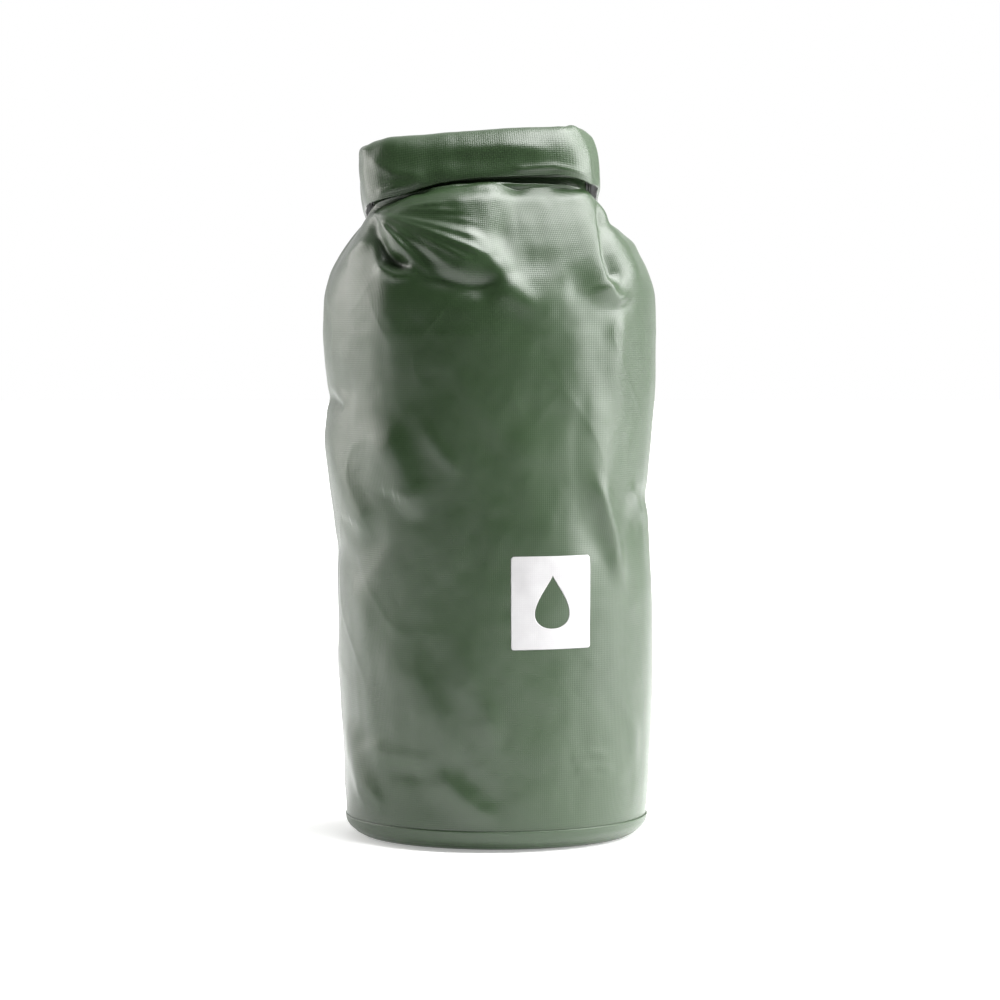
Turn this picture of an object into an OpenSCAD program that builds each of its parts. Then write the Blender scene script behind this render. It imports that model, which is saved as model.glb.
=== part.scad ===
// Roll-top dry bag, 10 litre, packed and buckled shut.
// Origin: centre of the base, on the ground. +Z up, the front of the bag faces -Y, the buckle is at the back.

/* [Bag] */
// Radius of the wall at the shoulder
body_r = 97; // [95:0.5:99]
// Radius of the wall at the base
base_r = 88.6; // [87:0.1:90]
// Distance that the shoulder leans to the left of the base
lean_x = 3.6; // [0:0.1:5]
// Thickness of the coated fabric
wall_t = 1.0; // [0.8:0.1:1.2]
// Height at which the shoulder starts to close in
shoulder_z = 298; // [280:1:305]
// Height of the welded cup that the base panel turns up into
base_cup_h = 13; // [11:1:16]

/* [Roll] */
// Height of the rolled closure
roll_h = 34; // [33:0.5:36]
// Thickness of the rolled closure, front to back
roll_t = 20; // [20:0.5:22]
// Height of the middle of the roll's lower edge above the ground
roll_z = 371.5; // [366:0.5:376]
// Distance that the middle of the roll sits in front of the bag's axis
roll_front = 8; // [4:1:10]
// Distance that the middle of the roll sits to the left of the base's centre
roll_left = 9; // [5:0.5:10]
// Angle that the roll tips down towards the back
roll_tilt = 12; // [8:1:14]
// Angle that the roll leans down towards the left
roll_lean = 4; // [0:0.5:5]

/* [Buckle] */
// Width of the webbing
web_w = 25; // [24:0.5:25]
// Thickness of one layer of webbing
web_t = 1.3; // [1.2:0.1:1.4]
// Overall thickness of the buckle
buckle_t = 10; // [10:0.5:11]

/* [D ring] */
// Height of the D ring's bar above the ground
dring_z = 84; // [75:1:95]
// Radius of the D ring's wire
dring_wire_r = 2.0; // [1.8:0.1:2.2]

/* [Hidden] */

green = [0.27, 0.36, 0.25];
dark_green = [0.21, 0.29, 0.2];
black = [0.06, 0.06, 0.065];
steel = [0.62, 0.63, 0.65];

// ---- the line that the roll follows, seen from above: a front bow, two corners, two legs and two turned-in ends
bow_r = 260;
bow_half = 43.5;
bow_a = asin(bow_half / bow_r);
corner_r = 20;
front_y = -50;
corner_x = bow_half - corner_r * sin(bow_a);
corner_y = front_y + bow_r - (bow_r - corner_r) * cos(bow_a);
leg_x = corner_x + corner_r;
leg_l = 48;
rear_r = 30;
rear_a = 30;
tip_l = 12;
rear_x = leg_x - rear_r;
rear_y = corner_y + leg_l;
tip_x = rear_x + rear_r * cos(rear_a) - tip_l * sin(rear_a);
tip_y = rear_y + rear_r * sin(rear_a) + tip_l * cos(rear_a);
// the flex line of each webbing tab, just past the end of the roll and level with the hem
flex_o = -4.6;
flex_x = tip_x - 2.6 * sin(rear_a) + flex_o * cos(rear_a);
flex_y = tip_y + 2.6 * cos(rear_a) + flex_o * sin(rear_a);
mid_z = roll_h / 2;

// lengths along half of that line, from the middle of the front to the end
s_bow = bow_r * bow_a * PI / 180;
s_corner = s_bow + corner_r * (90 - bow_a) * PI / 180;
s_leg = s_corner + leg_l;
s_rear = s_leg + rear_r * rear_a * PI / 180;
s_tip = s_rear + tip_l;

// point at length s (right half), pushed outwards by o
function half_pt(s, o) =
    s < s_bow ? let (a = s / bow_r * 180 / PI)
        [(bow_r + o) * sin(a), front_y + bow_r - (bow_r + o) * cos(a)]
    : s < s_corner ? let (a = -90 + bow_a + (s - s_bow) / corner_r * 180 / PI)
        [corner_x + (corner_r + o) * cos(a), corner_y + (corner_r + o) * sin(a)]
    : s < s_leg ? [leg_x + o, corner_y + s - s_corner]
    : s < s_rear ? let (a = (s - s_leg) / rear_r * 180 / PI)
        [rear_x + (rear_r + o) * cos(a), rear_y + (rear_r + o) * sin(a)]
    : let (e = s - s_rear)
        [rear_x + (rear_r + o) * cos(rear_a) - e * sin(rear_a),
         rear_y + (rear_r + o) * sin(rear_a) + e * cos(rear_a)];
function line_pt(s, o) = s >= 0 ? half_pt(s, o)
    : let (p = half_pt(-s, o)) [-p[0], p[1]];

// from the roll's own frame to the bag's
function in_roll(p) =
    let (a = -roll_tilt, b = -roll_lean,
         y = p[1] * cos(a) - p[2] * sin(a), z = p[1] * sin(a) + p[2] * cos(a),
         x2 = p[0] * cos(b) + z * sin(b), z2 = -p[0] * sin(b) + z * cos(b))
    [x2 - roll_left, y - roll_front, z2 + roll_z];
module in_roll() translate([-roll_left, -roll_front, roll_z]) rotate([-roll_tilt, -roll_lean, 0]) children();

// stations along half of the line, from the middle outwards, up to trim short of the end
function steps(a, b, n) = [for (k = [1:n]) a + (b - a) * k / n];
function half_stations(trim, nb = 6, nc = 10, nl = 3, nr = 6) = concat([0],
    steps(0, s_bow, nb), steps(s_bow, s_corner, nc),
    trim < tip_l ? concat(steps(s_corner, s_leg, nl), steps(s_leg, s_rear, nr), steps(s_rear, s_tip - trim, 1))
    : steps(s_corner, s_leg - 1, nl));
function stations(trim) = let (h = half_stations(trim), n = len(h))
    [for (k = [-(n - 1):n - 1]) k < 0 ? -h[-k] : h[k]];
// a band along the line between the offsets o1 and o2, seen from above
module band(o1, o2, trim) {
    st = stations(trim);
    polygon(concat([for (s = st) line_pt(s, o2)],
        [for (k = [len(st) - 1:-1:0]) line_pt(st[k], o1)]));
}
// a strip standing in the roll between the heights z1 and z2
module strip(o1, o2, z1, z2, trim) in_roll() translate([0, 0, z1]) linear_extrude(z2 - z1) band(o1, o2, trim);

// ---- wall: a tube that closes in at the shoulder to the flattened neck inside the roll
neck_half = 1.7;      // half of the flattened neck's thickness
neck_top = 30;        // how far the neck reaches up inside the roll
neck_foot = -2.4;     // where the shoulder meets the neck, below the roll
neck_end = s_tip - 1.2 - neck_half;
neck_s = concat([0], steps(0, s_bow, 5), steps(s_bow, s_corner, 6), steps(s_corner, s_leg, 5),
    steps(s_leg, s_rear, 3), [neck_end]);
side_n = len(neck_s) - 1;
wall_n = 4 * side_n + 4;
back_arc = 42;        // half of the arc at the back whose cloth ends up inside the bend of the roll

function wall_r(z) = base_r + (body_r - base_r) * min(z, shoulder_z) / shoulder_z;
function wall_x(z) = -lean_x * z / shoulder_z;

// outline i: [point of the flattened neck, direction on the round wall]
function signed_s(k) = k < 0 ? -neck_s[-k] : neck_s[k];
function outline(i) =
    i <= 2 * side_n ? let (s = signed_s(i - side_n))
        [line_pt(s, neck_half), 270 + (178 - back_arc) * s / neck_end]
    : i == 2 * side_n + 1 ? [line_pt(neck_end + neck_half, 0), 90 - back_arc]
    : i <= 4 * side_n + 2 ? let (s = signed_s(3 * side_n + 2 - i))
        [line_pt(s, -neck_half), 90 - (back_arc - 2) * s / neck_end]
    : [line_pt(-neck_end - neck_half, 0), 90 + back_arc];
// level: [share of the way in, share of the way up]
levels = [for (a = [0, 12, 24, 36, 47, 57, 66, 75, 84]) [(1 - cos(a)) / (1 - cos(84)), sin(a) / sin(84)]];
function dome_pt(i, lv) =
    let (o = outline(i), a = o[1], n = o[0],
         top = in_roll([n[0], n[1], neck_foot]),
         c = [body_r * cos(a) - lean_x, body_r * sin(a)],
         k = 0.6 * max(0, sin(a)),
         v = (1 - k) * lv[1] + k * lv[0])
    [c[0] + (top[0] - c[0]) * lv[0], c[1] + (top[1] - c[1]) * lv[0], shoulder_z + (top[2] - shoulder_z) * v];
neck_zs = [6, 18, neck_top];
wall_zs = [9.2, 150];
wall_levels = len(wall_zs) + len(levels) + len(neck_zs);
function wall_pt(i, j) =
    let (o = outline(i), q = len(wall_zs), q2 = q + len(levels))
    j < q ? [wall_r(wall_zs[j]) * cos(o[1]) + wall_x(wall_zs[j]), wall_r(wall_zs[j]) * sin(o[1]), wall_zs[j]]
    : j < q2 ? dome_pt(i, levels[j - q])
    : in_roll([o[0][0], o[0][1], neck_zs[j - q2]]);
function unit(v) = v / norm(v);
function wall_normal(i, j) =
    let (n = wall_n,
         du = wall_pt((i + 1) % n, j) - wall_pt((i + n - 1) % n, j),
         dv = wall_pt(i, min(j + 1, wall_levels - 1)) - wall_pt(i, max(j - 1, 0)))
    unit(cross(du, dv));
module wall_panel() color(green) {
    outer = [for (j = [0:wall_levels - 1]) for (i = [0:wall_n - 1]) wall_pt(i, j)];
    inner = [for (j = [0:wall_levels - 1]) for (i = [0:wall_n - 1]) wall_pt(i, j) - wall_t * wall_normal(i, j)];
    m = wall_levels * wall_n;
    side = [for (j = [0:wall_levels - 2]) for (i = [0:wall_n - 1])
        let (a = j * wall_n + i, b = j * wall_n + (i + 1) % wall_n, c = a + wall_n, d = b + wall_n)
        each [[a, c, b], [b, c, d], [m + a, m + b, m + c], [m + b, m + d, m + c]]];
    ends = [for (i = [0:wall_n - 1])
        let (a = i, b = (i + 1) % wall_n, t = (wall_levels - 1) * wall_n, c = t + i, d = t + (i + 1) % wall_n)
        each [[a, b, m + a], [b, m + b, m + a], [c, m + c, d], [d, m + c, m + d]]];
    polyhedron(points = concat(outer, inner), faces = concat(side, ends), convexity = 8);
}

// ---- base: a disc whose edge turns up outside the wall, and the tape that seals the corner inside
module base_panel() color(dark_green) {
    ro = wall_r(base_cup_h) + 0.3 + wall_t;
    f = 9;
    rotate_extrude($fn = 144) difference() {
        union() {
            square([ro - f, base_cup_h]);
            translate([0, f]) square([ro, base_cup_h - f]);
            translate([ro - f, f]) circle(f, $fn = 48);
        }
        translate([0, f]) square([ro - wall_t, base_cup_h]);
        translate([0, wall_t]) square([ro - f, base_cup_h]);
        translate([ro - f, f]) circle(f - wall_t, $fn = 48);
    }
}
module base_seam_tape() color(dark_green) {
    ri = wall_r(9.2) - wall_t - 0.35;
    rotate_extrude($fn = 144) polygon([
        [ri - 14, 1.2], [ri - 6.6, 1.2], [ri - 3.4, 2.9], [ri - 1.2, 5.6], [ri - 0.2, 9.4], [ri, 20],
        [ri - 0.7, 20], [ri - 0.9, 9.6], [ri - 1.9, 6], [ri - 3.9, 3.6], [ri - 6.9, 1.9], [ri - 14, 1.9]]);
}

// ---- welded strip that covers the seam at the back
module back_seam_tape() color(green) {
    z1 = base_cup_h + 0.6;
    z2 = shoulder_z - 2;
    a = 15;
    g = 0.12;
    rotate([0, -atan(lean_x / shoulder_z), 0]) rotate([0, 0, 90 - a / 2]) rotate_extrude(angle = a, $fn = 144)
        polygon([[wall_r(z1) + g, z1], [wall_r(z1) + g + 0.6, z1], [wall_r(z2) + g + 0.6, z2], [wall_r(z2) + g, z2]]);
}

// ---- D ring at the back, held by a welded patch and a webbing loop
ring_web_y = wall_r(dring_z + 24) + 2.1;
ring_bar_y = ring_web_y + 4.3;
module at_ring() translate([wall_x(dring_z), 0, 0]) children();
ring_in_w = 26;       // clear width inside the ring
ring_in_h = 17;       // clear height inside the ring, below its bar
module ring_patch() color(green) {
    z1 = dring_z - 27; z2 = dring_z + 27; g = 0.9;
    rotate([0, -atan(lean_x / shoulder_z), 0]) intersection() {
        rotate([0, 0, 65]) rotate_extrude(angle = 50, $fn = 144)
            polygon([[wall_r(z1) + g, z1], [wall_r(z1) + g + 0.9, z1], [wall_r(z2) + g + 0.9, z2], [wall_r(z2) + g, z2]]);
        translate([0, 0, dring_z]) rotate([-90, 0, 0]) linear_extrude(120) union() {
            square([56, 34], center = true);
            square([36, 54], center = true);
            for (x = [-18, 18]) for (y = [-17, 17]) translate([x, y]) circle(10, $fn = 48);
        }
    }
}
module ring_webbing() color(black) at_ring() {
    y0 = ring_web_y;
    eye_o = dring_wire_r + 0.08 + web_t;
    difference() {
        union() {
            translate([-web_w / 2, y0, dring_z - 1]) cube([web_w, web_t * 2, 24]);
            translate([-web_w / 2, y0, dring_z - 1]) cube([web_w, ring_bar_y - y0, 4]);
            translate([-web_w / 2, ring_bar_y, dring_z]) rotate([0, 90, 0]) cylinder(r = eye_o, h = web_w, $fn = 48);
        }
        translate([-web_w / 2 - 1, ring_bar_y, dring_z]) rotate([0, 90, 0])
            cylinder(r = dring_wire_r + 0.08, h = web_w + 2, $fn = 48);
    }
}
module ring_bartack() color(dark_green) at_ring() {
    y1 = ring_web_y + 2 * web_t + 0.05;
    for (z = [9, 20]) for (i = [0:10])
        translate([-10 + i * 2 - 0.45, y1, dring_z + z - 2]) cube([0.9, 0.5, 2.6]);
}
module d_ring() color(steel) at_ring() {
    w = ring_in_w / 2 + dring_wire_r;
    r = dring_wire_r;
    cr = 8;
    h = ring_in_h + 2 * r;
    translate([0, ring_bar_y, dring_z]) {
        rotate([0, 90, 0]) translate([0, 0, -w]) cylinder(r = r, h = 2 * w, $fn = 48);
        for (s = [-1, 1]) {
            translate([s * w, 0, 0]) sphere(r, $fn = 48);
            translate([s * w, 0, -(h - cr - r)]) cylinder(r = r, h = h - cr - r, $fn = 48);
            translate([s * (w - cr), 0, -(h - cr - r)]) rotate([90, 0, 0])
                rotate([0, 0, s > 0 ? -90 : 180]) rotate_extrude(angle = 90, $fn = 96)
                    translate([cr, 0]) circle(r, $fn = 48);
        }
        translate([-(w - cr), 0, -(h - r)]) rotate([0, 90, 0]) cylinder(r = r, h = 2 * (w - cr), $fn = 48);
    }
}

// ---- collar: the turns of fabric held inside the roll, which pay out as the roll is undone
collar_t = 1.2;
collar_pitch = 1.7;
collar_top = 27.5;
module collar_turn(k) color(green)
    strip(2.2 + collar_pitch * (k - 1), 2.2 + collar_pitch * (k - 1) + collar_t, 1, collar_top, 1.5);

// ---- roll: outer wrap, the two stiffener strips and the hem of the mouth
wrap_t = 1.6;
wrap_r = 8;
// one face of the wrap's section, d in from the outside, from the lip at the back over the top to the lip in front
function wrap_face(d) =
    let (hw = roll_t / 2, r = wrap_r - d, c = hw - wrap_r)
    concat([for (a = [58, 38, 18, 0]) [-c - r * cos(a), wrap_r - r * sin(a)]],
        [for (a = [0, 30, 60, 90]) [-c - r * cos(a), roll_h - wrap_r + r * sin(a)]],
        [for (a = [90, 60, 30, 0]) [c + r * cos(a), roll_h - wrap_r + r * sin(a)]],
        [for (a = [0, 14, 27]) [c + r * cos(a), wrap_r - r * sin(a)]]);
module roll_wrap() color(green) {
    outside = wrap_face(0);
    inside = wrap_face(wrap_t);
    m = len(outside);
    sec = concat(outside, [for (k = [m - 1:-1:0]) inside[k]]);
    st = stations(0);
    q = len(sec);
    n = len(st);
    pts = [for (s = st) for (c = sec) let (p = line_pt(s, c[0])) in_roll([p[0], p[1], c[1]])];
    skin = [for (j = [0:n - 2]) for (k = [0:q - 1])
        let (a = j * q + k, b = j * q + (k + 1) % q, c = a + q, d = b + q)
        each [[a, b, c], [b, d, c]]];
    caps = [for (k = [0:m - 2]) let (a = k, b = k + 1, c = q - 1 - k, d = q - 2 - k, t = (n - 1) * q)
        each [[a, c, b], [b, c, d], [t + a, t + b, t + c], [t + b, t + d, t + c]]];
    polyhedron(points = pts, faces = concat(skin, caps), convexity = 8);
}
module stiffener_front() color(black) strip(-3.6, -2.3, 5, 29, 3);
module stiffener_back() color(black) strip(-7.6, -6.4, 7.5, 26.5, 3);
hem_trim = 11;
module mouth_hem() color(green) strip(-6.1, -3.9, 6, 28, hem_trim);

// ---- webbing: the end sewn inside the roll, the free tab and its stitching
module anchor(side) color(black) in_roll() mirror([side < 0 ? 1 : 0, 0, 0])
    translate([flex_x, flex_y, 0]) rotate([0, 0, rear_a])
        translate([-web_t / 2, -hem_trim - 2.5, mid_z - web_w / 2]) cube([web_t, hem_trim + 0.5, web_w]);
tab_l = 20;           // from the flex line to the buckle's bar
bar_r = 1.8;
bar_gap = 0.09;
module tab(side) color(black) in_roll() translate([side * flex_x, flex_y, 0]) mirror([side > 0 ? 1 : 0, 0, 0]) {
    eye_r = bar_r + bar_gap + web_t;
    difference() {
        union() {
            translate([0, 0, mid_z - web_w / 2]) cylinder(r = web_t, h = web_w, $fn = 32);
            translate([0, -web_t, mid_z - web_w / 2]) cube([tab_l - 1, 2 * web_t, web_w]);
            translate([tab_l, 0, mid_z - web_w / 2]) cylinder(r = eye_r, h = web_w, $fn = 48);
        }
        translate([tab_l, 0, 0]) cylinder(r = bar_r + bar_gap, h = roll_h, $fn = 48);
    }
}
module bartack(side) color(dark_green) in_roll() translate([side * flex_x, flex_y, 0]) mirror([side > 0 ? 1 : 0, 0, 0])
    for (f = [-1, 1]) for (i = [0:8])
        translate([7.5, f * (web_t + 0.3) - 0.25, mid_z - 8 + 2 * i - 0.45]) cube([3, 0.5, 0.9]);

// ---- side-release buckle. u runs along the webbing from socket to plug, w across it, and the third way is its thickness
bar_u = flex_x - tab_l;
mouth_u = 5;
half_w = 17;
module in_buckle() in_roll() translate([0, flex_y, mid_z]) rotate([90, 0, 0]) children();
// block in buckle coordinates, centred in thickness, with chamfered faces
module plate(u1, u2, w, t, c = 1.2) {
    translate([u1, -w, -t + c]) cube([u2 - u1, 2 * w, 2 * t - 2 * c]);
    translate([u1 + c, -w + c, -t]) cube([u2 - u1 - 2 * c, 2 * w - 2 * c, 2 * t]);
}
module cushion(u1, u2, w, t, c = 1.6) hull() {
    translate([u1, -w, -t + c]) cube([u2 - u1, 2 * w, 2 * t - 2 * c]);
    translate([u1 + c, -w + c, -t]) cube([u2 - u1 - 2 * c, 2 * w - 2 * c, 2 * t]);
}
module buckle_socket() color(black) in_buckle() {
    t = buckle_t / 2;
    difference() {
        union() {
            cushion(-bar_u + 8.6, mouth_u, half_w, t);
            for (s = [-1, 1]) translate([-bar_u - 3.6, s > 0 ? half_w - 3.6 : -half_w, -3]) cube([13.4, 3.6, 6]);
        }
        // cavity for the plug
        translate([-14.5, -14.3, -3.1]) cube([mouth_u + 20, 28.6, 6.2]);
        // windows that show the prongs
        for (s = [-1, 1]) translate([-12.4, s > 0 ? 13 : -13 - 6, -3.1]) cube([12.6, 6, 6.2]);
        for (s = [-1, 1]) translate([-6, s * 24.5, -20]) cylinder(r = 10.5, h = 40, $fn = 64);
        // light recess in each face
        for (s = [-1, 1]) translate([-3.5, 0, s * (t + 0.0)]) cube([9, 13, 0.8], center = true);
    }
    translate([-bar_u, -half_w + 1, 0]) rotate([-90, 0, 0]) cylinder(r = bar_r, h = 2 * half_w - 2, $fn = 48);
}
module buckle_plug() color(black) in_buckle() {
    t = buckle_t / 2 - 0.3;
    difference() {
        union() {
            cushion(mouth_u + 0.4, bar_u - 8.6, half_w - 0.8, t);
            for (s = [-1, 1]) translate([bar_u - 9.8, s > 0 ? half_w - 4.2 : -half_w + 0.8, -3]) cube([13.4, 3.4, 6]);
        }
        for (s = [-1, 1]) translate([mouth_u - 1, s > 0 ? 8.2 : -14.2, -3.1]) cube([7.8, 6, 6.2]);
    }
    // guide blade
    translate([-12.5, -2.9, -2.4]) cube([mouth_u + 14, 5.8, 4.8]);
    translate([bar_u, -half_w + 1.8, 0]) rotate([-90, 0, 0]) cylinder(r = bar_r, h = 2 * half_w - 3.6, $fn = 48);
}
prong_u = mouth_u + 4.6;      // where each prong flexes
prong_w = 11;
module prong(s) color(black) in_buckle() mirror([0, s > 0 ? 0 : 1, 0])
    translate([0, 0, -2.5]) linear_extrude(5) {
        translate([prong_u, prong_w]) circle(1.5, $fn = 32);
        polygon([[prong_u, prong_w + 1.5], [4, 12.9], [-0.5, 13.1], [-0.9, 16.5], [-2.4, 16.9],
            [-6, 16.2], [-9.5, 14.6], [-12, 12.6], [-13.4, 10.8], [-13.6, 9.6], [-12.8, 8.9],
            [-8, 10.2], [-2, 10.9], [prong_u, prong_w - 1.5]]);
    }

wall_panel();
base_panel();
base_seam_tape();
back_seam_tape();
ring_patch();
ring_webbing();
ring_bartack();
d_ring();
collar_turn(1);  // collar_turn_1
collar_turn(2);  // collar_turn_2
collar_turn(3);  // collar_turn_3
roll_wrap();
stiffener_front();
stiffener_back();
mouth_hem();
anchor(-1);  // anchor_left
anchor(1);  // anchor_right
tab(-1);  // tab_left
tab(1);  // tab_right
bartack(-1);  // bartack_left
bartack(1);  // bartack_right
buckle_socket();
buckle_plug();
prong(1);  // prong_upper
prong(-1);  // prong_lower
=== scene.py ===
# Roll-top dry bag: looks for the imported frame. Lengths in this file are millimetres until they reach a mesh.
import bpy, math
import numpy as np
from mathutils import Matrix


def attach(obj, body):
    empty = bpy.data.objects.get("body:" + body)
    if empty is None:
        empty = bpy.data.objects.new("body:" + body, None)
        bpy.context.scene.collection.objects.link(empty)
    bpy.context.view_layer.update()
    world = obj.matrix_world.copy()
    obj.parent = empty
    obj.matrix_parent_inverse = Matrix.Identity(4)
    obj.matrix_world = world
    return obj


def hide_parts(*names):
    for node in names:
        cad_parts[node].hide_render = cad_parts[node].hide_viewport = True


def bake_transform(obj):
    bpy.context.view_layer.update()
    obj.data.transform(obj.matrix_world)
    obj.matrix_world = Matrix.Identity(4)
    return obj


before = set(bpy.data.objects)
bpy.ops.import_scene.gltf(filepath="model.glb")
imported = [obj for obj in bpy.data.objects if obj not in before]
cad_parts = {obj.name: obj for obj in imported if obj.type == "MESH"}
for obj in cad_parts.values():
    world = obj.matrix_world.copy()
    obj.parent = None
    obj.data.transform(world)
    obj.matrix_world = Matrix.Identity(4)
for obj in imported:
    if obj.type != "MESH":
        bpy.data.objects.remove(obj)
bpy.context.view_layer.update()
RES = 1.0

# ------------------------------------------------------------------ the design's own numbers, as in the CAD
BODY_R, BASE_R, SHOULDER_Z, LEAN_X, CUP_H = 97.0, 88.6, 298.0, 3.6, 13.0
ROLL_H, ROLL_T, ROLL_Z, ROLL_FRONT, ROLL_LEFT = 34.0, 20.0, 371.5, 8.0, 9.0
TILT, LEAN = math.radians(-12), math.radians(-4)
BOW_R, BOW_HALF, CORNER_R, FRONT_Y = 260.0, 43.5, 20.0, -50.0
BOW_A = math.asin(BOW_HALF / BOW_R)
CORNER_X = BOW_HALF - CORNER_R * math.sin(BOW_A)
CORNER_Y = FRONT_Y + BOW_R - (BOW_R - CORNER_R) * math.cos(BOW_A)
LEG_X, LEG_L, REAR_R, REAR_A, TIP_L = CORNER_X + CORNER_R, 48.0, 30.0, math.radians(30), 12.0
REAR_X, REAR_Y = LEG_X - REAR_R, CORNER_Y + LEG_L
S_BOW = BOW_R * BOW_A
S_CORNER = S_BOW + CORNER_R * (math.pi / 2 - BOW_A)
S_LEG = S_CORNER + LEG_L
S_REAR = S_LEG + REAR_R * REAR_A
S_TIP = S_REAR + TIP_L
NECK_HALF, NECK_FOOT = 1.7, -2.4
NECK_END = S_TIP - 1.2 - NECK_HALF
FLEX_O = -4.6
TIP_X = REAR_X + REAR_R * math.cos(REAR_A) - TIP_L * math.sin(REAR_A)
TIP_Y = REAR_Y + REAR_R * math.sin(REAR_A) + TIP_L * math.cos(REAR_A)
FLEX_X = TIP_X - 2.6 * math.sin(REAR_A) + FLEX_O * math.cos(REAR_A)
FLEX_Y = TIP_Y + 2.6 * math.cos(REAR_A) + FLEX_O * math.sin(REAR_A)
TAB_L, WEB_T, WEB_W, BAR_R = 20.0, 1.3, 25.0, 1.8


def line_pt(s, o):
    """Points of the roll's line, seen from above, at length s from the middle of the front, o outwards."""
    s = np.asarray(s, float)
    o = np.asarray(o, float)
    a, sg = np.abs(s), np.where(s < 0, -1.0, 1.0)
    t = a / BOW_R
    x, y = (BOW_R + o) * np.sin(t), FRONT_Y + BOW_R - (BOW_R + o) * np.cos(t)
    t = -math.pi / 2 + BOW_A + (a - S_BOW) / CORNER_R
    x, y = (np.where(a > S_BOW, CORNER_X + (CORNER_R + o) * np.cos(t), x),
            np.where(a > S_BOW, CORNER_Y + (CORNER_R + o) * np.sin(t), y))
    x, y = (np.where(a > S_CORNER, LEG_X + o, x), np.where(a > S_CORNER, CORNER_Y + a - S_CORNER, y))
    t = (a - S_LEG) / REAR_R
    x, y = (np.where(a > S_LEG, REAR_X + (REAR_R + o) * np.cos(t), x),
            np.where(a > S_LEG, REAR_Y + (REAR_R + o) * np.sin(t), y))
    e = a - S_REAR
    c, sn = math.cos(REAR_A), math.sin(REAR_A)
    x, y = (np.where(a > S_REAR, REAR_X + (REAR_R + o) * c - e * sn, x),
            np.where(a > S_REAR, REAR_Y + (REAR_R + o) * sn + e * c, y))
    return sg * x, y


def in_roll(x, y, z):
    """From the roll's own frame to the bag's."""
    ca, sa, cb, sb = math.cos(TILT), math.sin(TILT), math.cos(LEAN), math.sin(LEAN)
    y, z = y * ca - z * sa, y * sa + z * ca
    x, z = x * cb + z * sb, -x * sb + z * cb
    return x - ROLL_LEFT, y - ROLL_FRONT, z + ROLL_Z


UP = np.array(in_roll(0, 0, 1)) - np.array(in_roll(0, 0, 0))


def wall_r(z):
    return BASE_R + (BODY_R - BASE_R) * np.minimum(z, SHOULDER_Z) / SHOULDER_Z


# ------------------------------------------------------------------ small tools
def smooth(a, b, x):
    t = np.clip((x - a) / (b - a), 0, 1)
    return t * t * (3 - 2 * t)


def curve(xs, ys, x):
    """Smooth monotone curve through given points."""
    xs, ys = np.asarray(xs, float), np.asarray(ys, float)
    h = np.diff(xs)
    d = np.diff(ys) / h
    m = np.zeros_like(ys)
    m[0], m[-1] = d[0], d[-1]
    for i in range(1, len(xs) - 1):
        if d[i - 1] * d[i] > 0:
            w1, w2 = 2 * h[i] + h[i - 1], h[i] + 2 * h[i - 1]
            m[i] = (w1 + w2) / (w1 / d[i - 1] + w2 / d[i])
    x = np.clip(x, xs[0], xs[-1])
    i = np.clip(np.searchsorted(xs, x, "right") - 1, 0, len(xs) - 2)
    t = (x - xs[i]) / h[i]
    return ((1 + 2 * t) * (1 - t) ** 2 * ys[i] + t * (1 - t) ** 2 * h[i] * m[i]
            + t * t * (3 - 2 * t) * ys[i + 1] + t * t * (t - 1) * h[i] * m[i + 1])


def lattice(seed):
    return np.random.RandomState(seed).uniform(-1, 1, (64, 64))


def vnoise(x, y, seed):
    """Smooth noise from -1 to 1 on a plane; repeats every 64 units."""
    L = lattice(seed)
    xi, yi = np.floor(x).astype(int), np.floor(y).astype(int)
    fx, fy = x - xi, y - yi
    fx, fy = fx * fx * fx * (fx * (fx * 6 - 15) + 10), fy * fy * fy * (fy * (fy * 6 - 15) + 10)
    a, b = L[xi % 64, yi % 64], L[(xi + 1) % 64, yi % 64]
    c, d = L[xi % 64, (yi + 1) % 64], L[(xi + 1) % 64, (yi + 1) % 64]
    return (a * (1 - fx) + b * fx) * (1 - fy) + (c * (1 - fx) + d * fx) * fy


def make(name, verts, faces, uvs=None, mat=None, body=None):
    """A mesh piece from millimetre points. uvs has one pair per point."""
    me = bpy.data.meshes.new(name)
    v = np.asarray(verts, float) * 0.001
    me.from_pydata(v.tolist(), [], faces.tolist() if hasattr(faces, "tolist") else faces)
    me.polygons.foreach_set("use_smooth", np.ones(len(me.polygons), bool))
    if uvs is not None:
        layer = me.uv_layers.new(name="UVMap")
        idx = np.empty(len(me.loops), int)
        me.loops.foreach_get("vertex_index", idx)
        layer.data.foreach_set("uv", np.asarray(uvs, float)[idx].ravel())
    me.update()
    ob = bpy.data.objects.new(name, me)
    bpy.context.scene.collection.objects.link(ob)
    if mat:
        me.materials.append(mat)
    if body:
        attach(ob, body)
    return ob


def grid_faces(r, c, wrap=False, flip=False, base=0):
    i = np.arange(r - 1)[:, None]
    j = np.arange(c if wrap else c - 1)[None, :]
    j2 = (j + 1) % c
    f = np.stack([i * c + j, i * c + j2, (i + 1) * c + j2, (i + 1) * c + j], -1).reshape(-1, 4) + base
    return f[:, ::-1] if flip else f


def grid_normals(P, wrap):
    if wrap:
        du = np.roll(P, -1, 1) - np.roll(P, 1, 1)
    else:
        du = np.gradient(P, axis=1)
    dv = np.gradient(P, axis=0)
    n = np.cross(du, dv)
    return n / np.maximum(np.linalg.norm(n, axis=-1, keepdims=True), 1e-9)


# ------------------------------------------------------------------ materials
def nodes(name):
    m = bpy.data.materials.new(name)
    m.use_nodes = True
    t = m.node_tree
    return m, t, t.nodes["Principled BSDF"]


def add(t, kind, **kw):
    n = t.nodes.new(kind)
    for k, v in kw.items():
        setattr(n, k, v)
    return n


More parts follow.
